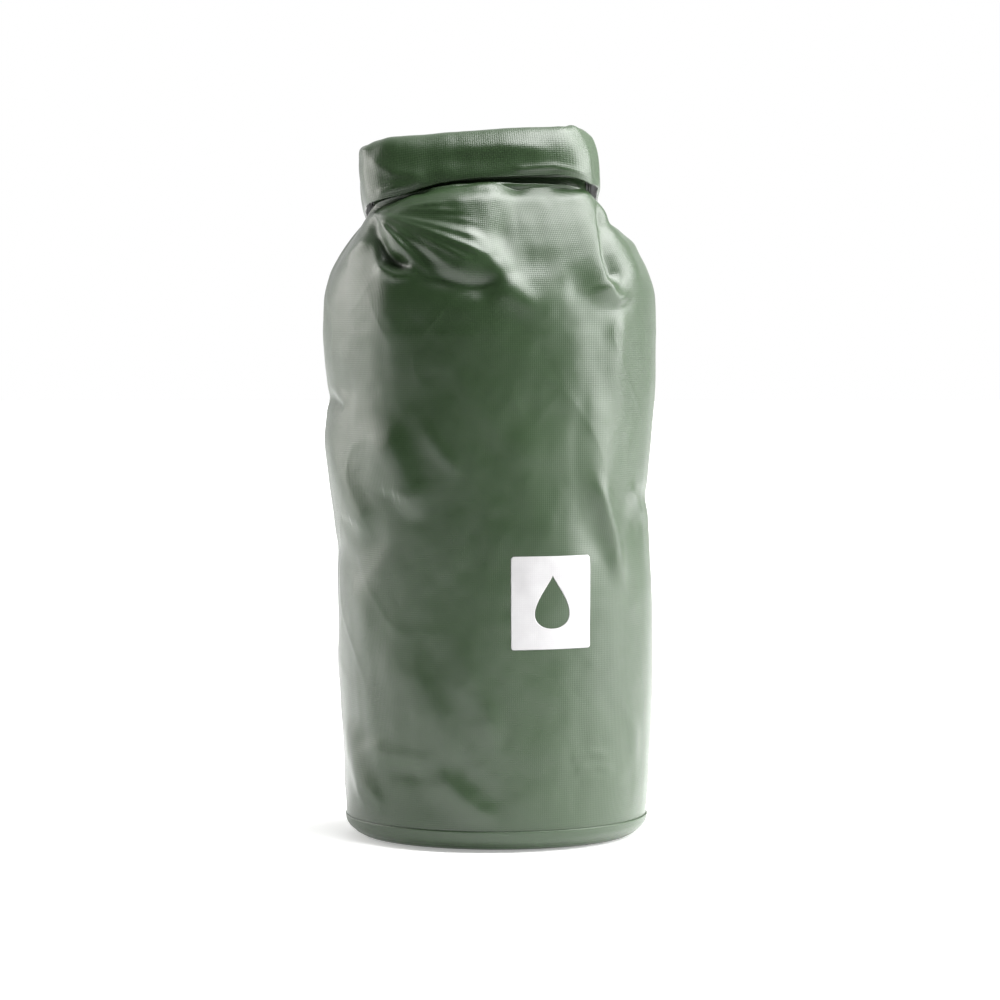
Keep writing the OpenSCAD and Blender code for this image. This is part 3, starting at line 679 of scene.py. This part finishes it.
def print_mat():
    m, t, b = nodes("print")
    co = add(t, "ShaderNodeTexCoord")
    n = add(t, "ShaderNodeTexNoise")
    n.inputs["Scale"].default_value = 120
    n.inputs["Detail"].default_value = 6
    t.links.new(co.outputs["Object"], n.inputs["Vector"])
    t.links.new(ramp(t, n.outputs["Fac"], [(0.3, (0.36, 0.355, 0.36)), (0.7, (0.385, 0.38, 0.385))]), b.inputs["Base Color"])
    uv = add(t, "ShaderNodeUVMap", uv_map="UVMap")
    sep = add(t, "ShaderNodeSeparateXYZ")
    t.links.new(uv.outputs[0], sep.inputs[0])
    k = math.pi / 1.25
    h = math_node(t, "MULTIPLY", math_node(t, "ABSOLUTE", math_node(t, "SINE", math_node(t, "MULTIPLY", sep.outputs[0], k))),
                  math_node(t, "ABSOLUTE", math_node(t, "SINE", math_node(t, "MULTIPLY", sep.outputs[1], k))))
    bump = add(t, "ShaderNodeBump")
    bump.inputs["Strength"].default_value = 0.08
    bump.inputs["Distance"].default_value = 0.0003
    t.links.new(h, bump.inputs["Height"])
    t.links.new(bump.outputs[0], b.inputs["Normal"])
    b.inputs["Roughness"].default_value = 0.6
    b.inputs["Specular IOR Level"].default_value = 0.22
    return m


M_PRINT = print_mat()
mark.data.materials.append(M_PRINT)
tidy(mark)


# ------------------------------------------------------------------ base cup, with its welded lip
def revolve(name, prof, n, mat, body_, centre=lambda z: 0.0, wob=None):
    """prof: closed loop of (radius, z). The loop may start and end on the axis."""
    prof = np.asarray(prof, float)
    a = np.linspace(0, 2 * math.pi, n, endpoint=False)
    r = prof[:, 0][:, None] + (0 if wob is None else wob(prof, a))
    z = np.repeat(prof[:, 1][:, None], n, 1)
    pts = np.stack([r * np.cos(a) + centre(z), r * np.sin(a), z], -1)
    m = len(prof)
    d = np.concatenate([[0], np.cumsum(np.linalg.norm(np.diff(prof, axis=0), axis=1))])
    f = grid_faces(m, n, True)
    j = np.arange(n)
    f = np.concatenate([f, np.stack([(m - 1) * n + j, (m - 1) * n + (j + 1) % n, (j + 1) % n, j], -1)])
    uv = np.stack([np.broadcast_to(a * 90, (m, n)), np.repeat(d[:, None], n, 1)], -1).reshape(-1, 2)
    return tidy(make(name, pts.reshape(-1, 3), f, uv, mat, body_))


RO = wall_r(CUP_H) + 1.3
t9 = np.linspace(-math.pi / 2, 0, 12)
lip = np.linspace(0, math.pi, 9)
FW, FH = 20.0, 11.0
cup = [(0.4, 0.0)] + [(r, 0.0) for r in np.linspace(6, RO - FW, 14)] + \
      [(RO - 0.5 - FW + FW * math.cos(a), FH + FH * math.sin(a)) for a in t9[1:]] + [(RO - 0.35, 11.3)] + \
      [(RO - 0.72 + 0.36 * math.cos(a), 12.35 + 0.4 * math.sin(a)) for a in lip] + \
      [(RO - 1.15, 11.6), (RO - 1.2, 10.2)] + [(RO - 0.5 - FW + (FW - 1) * math.cos(a), FH + (FH - 1) * math.sin(a)) for a in t9[::-1][1:]] + \
      [(r, 1.0) for r in np.linspace(RO - FW - 0.5, 6, 14)] + [(0.4, 1.0)]


def cup_wob(prof, a):
    g = smooth(82, 90, prof[:, 0])[:, None]
    n = vnoise(a[None, :] * 4.5 + 9 + 0 * prof[:, :1], prof[:, 1][:, None] / 14, 31)
    return g * 0.22 * n * smooth(1, 5, prof[:, 1])[:, None]


base = revolve("base_cup", cup, 360, M_BASE, "bag", wob=None)
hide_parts("base_panel")
ri = wall_r(9.2) - 1.35
tape_prof = [(ri - 14, 1.25), (ri - 6.6, 1.25), (ri - 3.4, 2.95), (ri - 1.25, 5.65), (ri - 0.3, 9.4), (ri - 0.15, 19.6), (ri - 0.45, 19.95),
             (ri - 0.7, 19.6), (ri - 0.9, 9.6), (ri - 1.9, 6), (ri - 3.9, 3.6), (ri - 6.9, 1.9), (ri - 14, 1.9)]
btape = revolve("base_tape", tape_prof, 180, M_TAPE, "bag")
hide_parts("base_seam_tape")

# back seam tape: a long narrow strip with heat-pressed edges
u = np.linspace(-12.2, 12.2, 27)
vv = np.linspace(-141, 141, int(260 * RES))
U, V = np.meshgrid(u, vv)
stape = slab_on_wall("back_tape", 450.0, 155.0, U, V, 0.42, False, M_TAPE, "bag", lift=0.08)
tidy(stape)
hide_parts("back_seam_tape")


def rounded_grid(hw, hh, rad, n, m):
    """A grid whose outline is a rounded rectangle."""
    g, h = np.meshgrid(np.linspace(-1, 1, n), np.linspace(-1, 1, m))
    x, y = g * hw, h * hh
    k = np.maximum(np.abs(g), np.abs(h))
    k = np.maximum(k, 1e-9)
    bx, by = x / k, y / k
    cx, cy = np.sign(bx) * (hw - rad), np.sign(by) * (hh - rad)
    dx, dy = bx - cx, by - cy
    out = (np.abs(bx) > hw - rad) & (np.abs(by) > hh - rad)
    q = np.maximum(np.hypot(dx, dy), 1e-9)
    ex, ey = np.where(out, cx + dx / q * rad, bx), np.where(out, cy + dy / q * rad, by)
    w = k ** 3
    return x * (1 - w) + ex * k * w, y * (1 - w) + ey * k * w


U, V = rounded_grid(28, 27, 10, 57, 55)
rim_in = np.minimum(1, np.minimum(28 - np.abs(U), 27 - np.abs(V)) / 1.2)
patch = slab_on_wall("ring_patch_soft", 450.0, 84.0, U, V, 1.35, False, M_FABRIC, "bag", lift=0.4)
tidy(patch)
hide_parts("ring_patch")


# ------------------------------------------------------------------ tubes, threads and ribbons
def tube(path, rad, n=8, closed=False):
    """Points and faces of a round cord along a path."""
    path = np.asarray(path, float)
    m = len(path)
    if closed:
        d = np.roll(path, -1, 0) - np.roll(path, 1, 0)
    else:
        d = np.gradient(path, axis=0)
    d /= np.maximum(np.linalg.norm(d, axis=1, keepdims=True), 1e-9)
    ref = np.array([0, 0, 1.0])
    if np.abs(d @ ref).max() > 0.97:
        ref = np.array([0.31, 0.9, 0.3]) / np.linalg.norm([0.31, 0.9, 0.3])
    s1 = np.cross(d, ref)
    s1 /= np.maximum(np.linalg.norm(s1, axis=1, keepdims=True), 1e-9)
    s2 = np.cross(d, s1)
    a = np.linspace(0, 2 * math.pi, n, endpoint=False)
    rr = np.full(m, rad)
    if not closed:
        rr[0] = rr[-1] = rad * 0.45
    p = path[:, None] + rr[:, None, None] * (np.cos(a)[None, :, None] * s1[:, None] + np.sin(a)[None, :, None] * s2[:, None])
    f = grid_faces(m, n, True)
    if closed:
        j = np.arange(n)
        f = np.concatenate([f, np.stack([(m - 1) * n + j, (m - 1) * n + (j + 1) % n, (j + 1) % n, j], -1)])
        f = f.tolist()
    else:
        f = f.tolist() + [list(range(n))[::-1], [(m - 1) * n + k for k in range(n)]]
    return p.reshape(-1, 3), f


def threads(name, paths, rad, body_):
    vs, fs, k = [], [], 0
    for p in paths:
        v_, f_ = tube(p, rad, 6)
        vs.append(v_)
        fs += [[i + k for i in q_] for q_ in f_]
        k += len(v_)
    return tidy(make(name, np.concatenate(vs), fs, None, M_THREAD, body_))


def ribbon(name, path, width, t, place, mat, n_w=21, edge=0.45):
    """A flat woven strap: path is its middle line in the plane across its width, place() puts (a, b, w) in the world."""
    path = np.asarray(path, float)
    d = np.gradient(path, axis=0)
    d /= np.linalg.norm(d, axis=1, keepdims=True)
    nrm = np.stack([-d[:, 1], d[:, 0]], -1)
    w = np.linspace(-1, 1, n_w)
    wx = np.sign(w) * (1 - (1 - np.abs(w)) ** 1.0) * width / 2
    half = t / 2 * np.clip((1 - np.abs(w) ** 14), 0.25, 1)
    L = np.concatenate([[0], np.cumsum(np.linalg.norm(np.diff(path, axis=0), axis=1))])
    rings, uvs = [], []
    m = len(path)
    endk = np.ones(m)
    endk[0] = endk[-1] = 0.5
    for sgn, order in ((1, range(n_w)), (-1, range(n_w - 1, -1, -1))):
        for k in order:
            q = path + nrm * (sgn * half[k] * endk)[:, None]
            rings.append(np.stack(place(q[:, 0], q[:, 1], np.full(m, wx[k])), -1))
            uvs.append(np.stack([np.full(m, wx[k] + 50), L], -1))
    Pn = np.stack(rings, 1)
    c = Pn.shape[1]
    f = grid_faces(m, c, True).tolist()
    for i, rev in ((0, True), (m - 1, False)):
        for k in range(n_w - 1):
            q = [i * c + k, i * c + k + 1, i * c + c - 2 - k, i * c + c - 1 - k]
            f.append(q[::-1] if rev else q)
    return tidy(make(name, Pn.reshape(-1, 3), f, np.stack(uvs, 1).reshape(-1, 2), mat))


# straps of the buckle: sewn in the tip of the roll, out of it, round the buckle's bar and back
for side, tag in ((-1, "left"), (1, "right")):
    anchor_dir = np.array([math.sin(REAR_A), -math.cos(REAR_A)])   # into the roll, seen with the buckle on the left
    eye = BAR_R + 0.09 + WEB_T / 2

    def place(a, b, w, side=side):
        # (a, b): a runs from the flex line to the bar, b outwards; mirrored for the left strap
        return in_roll(side * (FLEX_X - a), FLEX_Y + b, 17.0 + w)
    pth = []
    for k in np.linspace(11.5, 2.2, 9):
        pth.append((-anchor_dir[0] * k, anchor_dir[1] * k))
    p1, p2 = np.array(pth[-1]), np.array([2.4, 0.68])
    c1 = np.array([-0.5, 0.25])
    for k in np.linspace(0.15, 1, 7):
        pth.append(tuple((1 - k) ** 2 * p1 + 2 * k * (1 - k) * c1 + k * k * p2))
    pth += [(k, 0.68) for k in np.linspace(4, TAB_L - 4.6, 8)]
    th_ = math.asin(min(1, 0.68 / eye))
    pth += [(TAB_L - 3.2, 1.05)]
    for a in np.linspace(math.radians(128), -math.radians(128), 24):
        pth.append((TAB_L + eye * math.cos(a), eye * math.sin(a)))
    pth += [(TAB_L - 3.2, -1.05)] + [(k, -0.68) for k in np.linspace(TAB_L - 4.6, 2.6, 8)]
    strap = ribbon("strap_" + tag, pth, WEB_W - 0.4, WEB_T - 0.05, place, M_WEB, 25)
    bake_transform(strap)
    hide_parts("anchor_" + tag, "tab_" + tag)
    paths = []
    for f in (-1, 1):
        for u0 in (7.6, 10.4):
            zz = []
            for k in range(45):
                zz.append(place(u0 + (0.55 if k % 2 else -0.55), f * (1.36 + 0.1), -9.2 + 18.4 * k / 44))
            paths.append(zz)
        for w0 in (-9.2, 9.2):
            paths.append([place(7.6 + 2.8 * k / 8, f * 1.46, w0 + (0.3 if k % 2 else -0.3)) for k in range(9)])
    st = threads("bartack_thread_" + tag, paths, 0.24, "tab_%s_body" % tag)
    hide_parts("bartack_" + tag)

# webbing that holds the D ring: sewn flat to the patch, round the ring's bar
XR = -LEAN_X * 84.0 / SHOULDER_Z
WY = wall_r(108.0) + 2.1
BY = WY + 4.3
er = 2.0 + 0.08 + WEB_T / 2


def at_ring(a, b, w):
    return XR + w, a, b


pth = [(WY + 0.68, 107.0)] + [(WY + 0.68, z) for z in np.linspace(105, 90, 9)] + [(WY + 0.75, 88.2), (WY + 1.1, 86.6)]
cy, cz = BY, 84.0
for a in np.linspace(math.radians(142), math.radians(360 + 118), 34):
    pth.append((cy + er * math.cos(a), cz + er * math.sin(a)))
pth += [(WY + 2.35, 88.6)] + [(WY + 2.0, z) for z in np.linspace(90.5, 106.5, 9)]
rweb = ribbon("ring_strap", pth, WEB_W - 0.4, WEB_T - 0.05, at_ring, M_WEB, 25)
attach(rweb, "bag")
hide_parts("ring_webbing")
paths = []
for z0 in (91.4, 102.4):
    for dz in (-0.9, 0.9):
        paths.append([at_ring(WY + 2.72, z0 + dz + (0.6 if k % 2 else -0.6), -9.8 + 19.6 * k / 44) for k in range(45)])
rb = threads("ring_bartack_thread", paths, 0.24, "bag")
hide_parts("ring_bartack")

# stitches round the ring's patch
U2, V2 = rounded_grid(24.6, 23.6, 8, 41, 41)
loop = np.concatenate([np.stack([U2[0, :-1], V2[0, :-1]], -1), np.stack([U2[:-1, -1], V2[:-1, -1]], -1),
                       np.stack([U2[-1, :0:-1], V2[-1, :0:-1]], -1), np.stack([U2[:0:-1, 0], V2[:0:-1, 0]], -1)])
seg = np.linalg.norm(np.diff(np.concatenate([loop, loop[:1]]), axis=0), axis=1)
tot = np.concatenate([[0], np.cumsum(seg)])
cl = np.concatenate([loop, loop[:1]])
paths = []
for k in range(int(tot[-1] / 3.0)):
    q = k * 3.0 + np.linspace(0.25, 2.35, 6)
    x, y = np.interp(q, tot, cl[:, 0]), np.interp(q, tot, cl[:, 1])
    p, n = on_wall(450.0 + np.degrees(x / wall_r(84 + y)), 84 + y)
    paths.append(p + n * (1.72 + 0.12 * np.sin(np.linspace(0, math.pi, 6)))[:, None])
threads("patch_stitches", paths, 0.22, "bag")


# ------------------------------------------------------------------ the roll and what lies in it
def strip(name, o1, o2, z1, z2, trim, mat, body_, node, wave=0.0, seed=1):
    """A long flat strip standing in the roll, with rounded edges."""
    end = S_TIP - trim
    s = np.linspace(-end, end, int(260 * RES))
    zc = np.linspace(z1, z2, 15)
    t = (o2 - o1) / 2
    mid = (o1 + o2) / 2
    e = np.minimum(zc - z1, z2 - zc)
    half = t * np.sqrt(np.clip(1 - (1 - np.clip(e / 0.7, 0, 1)) ** 2, 0.05, 1))
    o = np.concatenate([mid + half, (mid - half)[::-1]])
    z = np.concatenate([zc, zc[::-1]])
    S, O = np.meshgrid(s, o, indexing="ij")
    Zz = np.broadcast_to(z, S.shape)
    O = O + wave * vnoise(S / 9.0, Zz / 14.0, seed)
    Zz = Zz + wave * 1.2 * vnoise(S / 14.0 + 5, 0 * S, seed + 1)
    x, y = line_pt(S, O)
    p = np.stack(in_roll(x, y, Zz), -1)
    m, c = S.shape
    f = grid_faces(m, c, True).tolist()
    for i, rev in ((0, True), (m - 1, False)):
        for k in range(14):
            q = [i * c + k, i * c + k + 1, i * c + c - 2 - k, i * c + c - 1 - k]
            f.append(q[::-1] if rev else q)
    ob = tidy(make(name, p.reshape(-1, 3), f, np.stack([S, Zz], -1).reshape(-1, 2), mat, body_))
    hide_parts(node)
    return ob


for k in (1, 2, 3):
    o = 1.95 + 0.85 * (k - 1)
    strip("collar_fold_%d" % k, o, o + 0.6, (3.6, 5.0, 4.8)[k - 1], (30.8, 30.3, 29.4)[k - 1], 1.5, M_FABRIC, "collar_%d" % k, "collar_turn_%d" % k, 0.1, 40)
strip("hem_band", -6.1, -3.9, 6, 28, 11, M_FABRIC, "roll", "mouth_hem", 0.08, 50)

end = S_TIP
n_s = int(560 * RES)
s = np.linspace(-end, end, n_s)
arcs = [(-2 - 8 * math.cos(a), 8 - 8 * math.sin(a)) for a in np.radians(np.linspace(58, 0, 14))]
arcs += [(-10.0, z) for z in np.linspace(9, 25, 17)]
arcs += [(-2 - 8 * math.cos(a), 26 + 8 * math.sin(a)) for a in np.radians(np.linspace(0, 90, 20))]
arcs += [(-1.0, 34.0)]
for a in np.radians(np.linspace(90, -34, 60)):
    c_, s_ = math.cos(a), math.sin(a)
    e_ = 2.1 if s_ > 0 else 2.35
    arcs.append((10.5 * abs(c_) ** (2 / e_), 15 + 19 * math.copysign(abs(s_) ** (2 / e_), s_)))
arcs = np.array(arcs)
cum = np.concatenate([[0], np.cumsum(np.linalg.norm(np.diff(arcs, axis=0), axis=1))])
M = int(96 * RES)
q = np.linspace(0, cum[-1], M)
sec = np.stack([np.interp(q, cum, arcs[:, 0]), np.interp(q, cum, arcs[:, 1])], -1)
S, O = np.meshgrid(s, sec[:, 0], indexing="ij")
Zz = np.broadcast_to(sec[:, 1], S.shape).copy()
Q = np.broadcast_to(q, S.shape)
lowleft = smooth(-30, -52, S) * smooth(-108, -80, S)
drop = np.interp(S, [-120, -96, -76, -58, -46, -40, -32, -22, -6, 45, 52, 60, 76, 98], [0, 1.0, 4.6, 6.2, 6.0, 5.0, 2.8, 1.0, 0, 0, 1.8, 4.0, 3.2, 0])
Zz = Zz - drop * smooth(50, cum[-1], Q)
x, y = line_pt(S, O)
RP = np.stack(in_roll(x, y, Zz), -1)
RN = grid_normals(RP, False)
if np.mean(RN[:, M // 2, 2]) < 0:
    RN = -RN
X, Y = view_xy(RP)
facing_r = smooth(0.0, 0.35, -RN[..., 1])
Q = np.broadcast_to(q, S.shape)
RD = 0.55 * vnoise(S / 26 + 4, Q / 22, 61) + 0.3 * vnoise(S / 9, Q / 24 + 3, 62)
# creases where the roll is bent round: they run over the top at the two corners and at the rear bend
for s0, w0, h in ((-49, 3.4, 0.35), (-58, 3.2, 0.5), (-67, 2.8, 0.4), (47, 2.8, 0.8), (55, 2.4, 1.0), (64, 3.0, 0.9), (126, 3, 0.7), (-126, 3, 0.7)):
    lean_ = s0 + 0.18 * (Q - cum[-1] / 2) * (1 if s0 > 0 else -1)
    RD += h * np.exp(-((S - lean_) / w0) ** 2) * (0.5 + 0.5 * vnoise(Q / 18, S / 60, 63 + int(abs(s0)))) * (0.4 + 0.6 * smooth(20, 44, Q) * (1 - smooth(70, 100, Q)))
RF = np.zeros(S.shape)
ROLL_FEATURES = True
RF += ridge(X, Y, [(365, 158), (392, 172), (430, 178)], 5, 7, 0.9) + ridge(X, Y, [(372, 196), (396, 188), (430, 184)], 5, 6, 1.0)
RF += dent(X, Y, 386, 206, 10, 7, -2.0) + dent(X, Y, 470, 160, 60, 9, -0.8, 0.02)
RF += ridge(X, Y, [(440, 150), (500, 146), (560, 150)], 7, 7, 0.9, 0.3, 0.3)
RF += ridge(X, Y, [(512, 171), (554, 167), (581, 174), (590, 178)], 4, 4, 1.0, 0.15, 0.15)
RF += dent(X, Y, 596, 170, 5, 16, -1.0)
RD += RF * facing_r
edge_d = np.minimum(Q, cum[-1] - Q)
RD *= smooth(0, 6, edge_d)
RD += lowleft * (0.8 * np.exp(-((Q - 46) / 8) ** 2) - 1.6 * smooth(50, cum[-1] - 5, Q))
RD -= 1.0 * np.exp(-((S + 64) / 13) ** 2) * smooth(44, cum[-1], Q)
RD += dent(X, Y, 362, 151, 8, 6, 1.9) + dent(X, Y, 575, 127, 12, 7, 1.4) + dent(X, Y, 594, 134, 4, 6, 0.9)
RD *= 0.35 + 0.65 * smooth(0, 8, S_TIP - np.abs(S))
tight = smooth(26, 0, np.abs(Q - 0))  # a mask near the start of the section, under the back; nothing uses it
ROUT = RP + RN * RD[..., None]
RIN = RP + RN * (RD - 1.25)[..., None]
m = n_s
v = np.concatenate([ROUT.reshape(-1, 3), RIN.reshape(-1, 3)])
k = m * M
f = [grid_faces(m, M), grid_faces(m, M, False, True, k)]
i = np.arange(m - 1)
for e, flip in ((0, False), (M - 1, True)):
    ff = np.stack([i * M + e, (i + 1) * M + e, k + (i + 1) * M + e, k + i * M + e], -1)
    f.append(ff[:, ::-1] if flip else ff)
j = np.arange(M - 1)
for e, flip in ((0, True), (m - 1, False)):
    ff = np.stack([e * M + j, e * M + j + 1, k + e * M + j + 1, k + e * M + j], -1)
    f.append(ff[:, ::-1] if flip else ff)
uv = np.stack([S, Q], -1).reshape(-1, 2)
wrap = tidy(make("roll_outer", v, np.concatenate(f), np.concatenate([uv, uv]), M_FABRIC, "roll"))
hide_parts("roll_wrap")

# ------------------------------------------------------------------ hard parts keep their CAD shape
def dress(name, mat, bev):
    o = bpy.data.objects[name]
    o.data.materials.clear()
    o.data.materials.append(mat)
    if bev:
        b = o.modifiers.new("edges", "BEVEL")
        b.width, b.segments, b.limit_method, b.angle_limit = bev * 0.001, 3, "ANGLE", math.radians(30)
        b.harden_normals = False
    for p in o.data.polygons:
        p.use_smooth = True
    w = o.modifiers.new("flat", "WEIGHTED_NORMAL")
    w.keep_sharp = True
    return o


for n in ("buckle_socket", "buckle_plug"):
    dress(n, M_PLASTIC, 0.45)
for n in ("prong_upper", "prong_lower"):
    dress(n, M_PLASTIC, 0.35)
dress("d_ring", M_METAL, 0)
for n in ("stiffener_front", "stiffener_back"):
    dress(n, M_STIFF, 0.2)

# ------------------------------------------------------------------ studio
me = bpy.data.meshes.new("floor")
me.from_pydata([(-9, -9, 0), (9, -9, 0), (9, 9, 0), (-9, 9, 0)], [], [(0, 1, 2, 3)])
floor = bpy.data.objects.new("floor", me)
bpy.context.scene.collection.objects.link(floor)
# The floor is painted. Near the camera, out of the frame, it turns dark grey and stops glowing: painted shade that
# keeps light from bouncing onto the bag's front. Further back it is pale and glows, more so further away: painted light
# that makes it read white, merges it into the background and lights the bag from below.
fm, ft, fb = nodes("floor")
fco = add(ft, "ShaderNodeTexCoord")
fsep = add(ft, "ShaderNodeSeparateXYZ")
ft.links.new(fco.outputs["Object"], fsep.inputs[0])
fr = add(ft, "ShaderNodeMapRange")
fr.inputs["From Min"].default_value, fr.inputs["From Max"].default_value = -0.79, -0.51
fr.inputs["To Min"].default_value, fr.inputs["To Max"].default_value = 0.0, 1.0
ft.links.new(fsep.outputs[1], fr.inputs["Value"])
ft.links.new(ramp(ft, fr.outputs[0], [(0.0, (0.2, 0.2, 0.2)), (1.0, (0.86, 0.86, 0.86))]), fb.inputs["Base Color"])
floor_glow = add(ft, "ShaderNodeMapRange")
floor_glow.inputs["From Min"].default_value, floor_glow.inputs["From Max"].default_value = 0.3, 3.0
floor_glow.inputs["To Min"].default_value, floor_glow.inputs["To Max"].default_value = 0.34, 1.0
ft.links.new(fsep.outputs[1], floor_glow.inputs["Value"])
ft.links.new(math_node(ft, "MULTIPLY", fr.outputs[0], floor_glow.outputs[0]), fb.inputs["Emission Strength"])
fb.inputs["Emission Color"].default_value = (1, 1, 1, 1)
fb.inputs["Roughness"].default_value = 0.8
me.materials.append(fm)


def area_light(name, loc, aim, sx, sy, power, color=(1, 1, 1)):
    from mathutils import Vector
    L = bpy.data.lights.new(name, "AREA")
    L.shape, L.size, L.size_y, L.energy, L.color = "RECTANGLE", sx, sy, power, color
    o = bpy.data.objects.new(name, L)
    bpy.context.scene.collection.objects.link(o)
    o.location = loc
    o.rotation_euler = (Vector(aim) - Vector(loc)).to_track_quat("-Z", "Y").to_euler()
    return o


area_light("right_box", (1.6, -0.12, 0.72), (0, 0, 0.26), 1.2, 1.15, 53)
area_light("left_box", (-1.52, 0.5, 0.62), (0, 0, 0.26), 1.1, 1.0, 16, (1, 0.98, 0.94))
area_light("top_box", (0.7, -0.2, 1.7), (0, 0, 0.3), 1.6, 1.4, 90)

world = bpy.data.worlds.new("studio")
bpy.context.scene.world = world
world.use_nodes = True
wt = world.node_tree
bg = wt.nodes["Background"]
co = wt.nodes.new("ShaderNodeTexCoord")
sep = wt.nodes.new("ShaderNodeSeparateXYZ")
wt.links.new(co.outputs["Generated"], sep.inputs[0])
rp = wt.nodes.new("ShaderNodeMapRange")
rp.inputs["From Min"].default_value, rp.inputs["From Max"].default_value = -0.3, 0.6
rp.inputs["To Min"].default_value, rp.inputs["To Max"].default_value = 0.06, 1.0
wt.links.new(sep.outputs[1], rp.inputs["Value"])
up = math_node(wt, "ADD", math_node(wt, "MULTIPLY", sep.outputs[2], 0.85), math_node(wt, "MULTIPLY", sep.outputs[0], 0.5))
over = wt.nodes.new("ShaderNodeMapRange")
over.inputs["From Min"].default_value, over.inputs["From Max"].default_value = 0.5, 0.95
over.inputs["To Min"].default_value, over.inputs["To Max"].default_value = 0.0, 0.4
wt.links.new(up, over.inputs["Value"])
wt.links.new(math_node(wt, "ADD", rp.outputs[0], over.outputs[0]), bg.inputs["Strength"])
bg.inputs["Color"].default_value = (1, 1, 1, 1)

cam_d = bpy.data.cameras.new("camera")
cam_d.angle = 2 * math.atan(500 / VIEW_F)
cam_d.clip_start, cam_d.clip_end = 0.05, 100
cam = bpy.data.objects.new("camera", cam_d)
bpy.context.scene.collection.objects.link(cam)
cam.location = tuple(c * 0.001 for c in VIEW_POS)
cam.rotation_euler = (math.pi / 2 - VIEW_E, 0, 0)
bpy.context.scene.camera = cam
bpy.context.scene.view_settings.view_transform = "Standard"
bpy.context.scene.view_settings.look = "None"

bpy.context.view_layer.update()
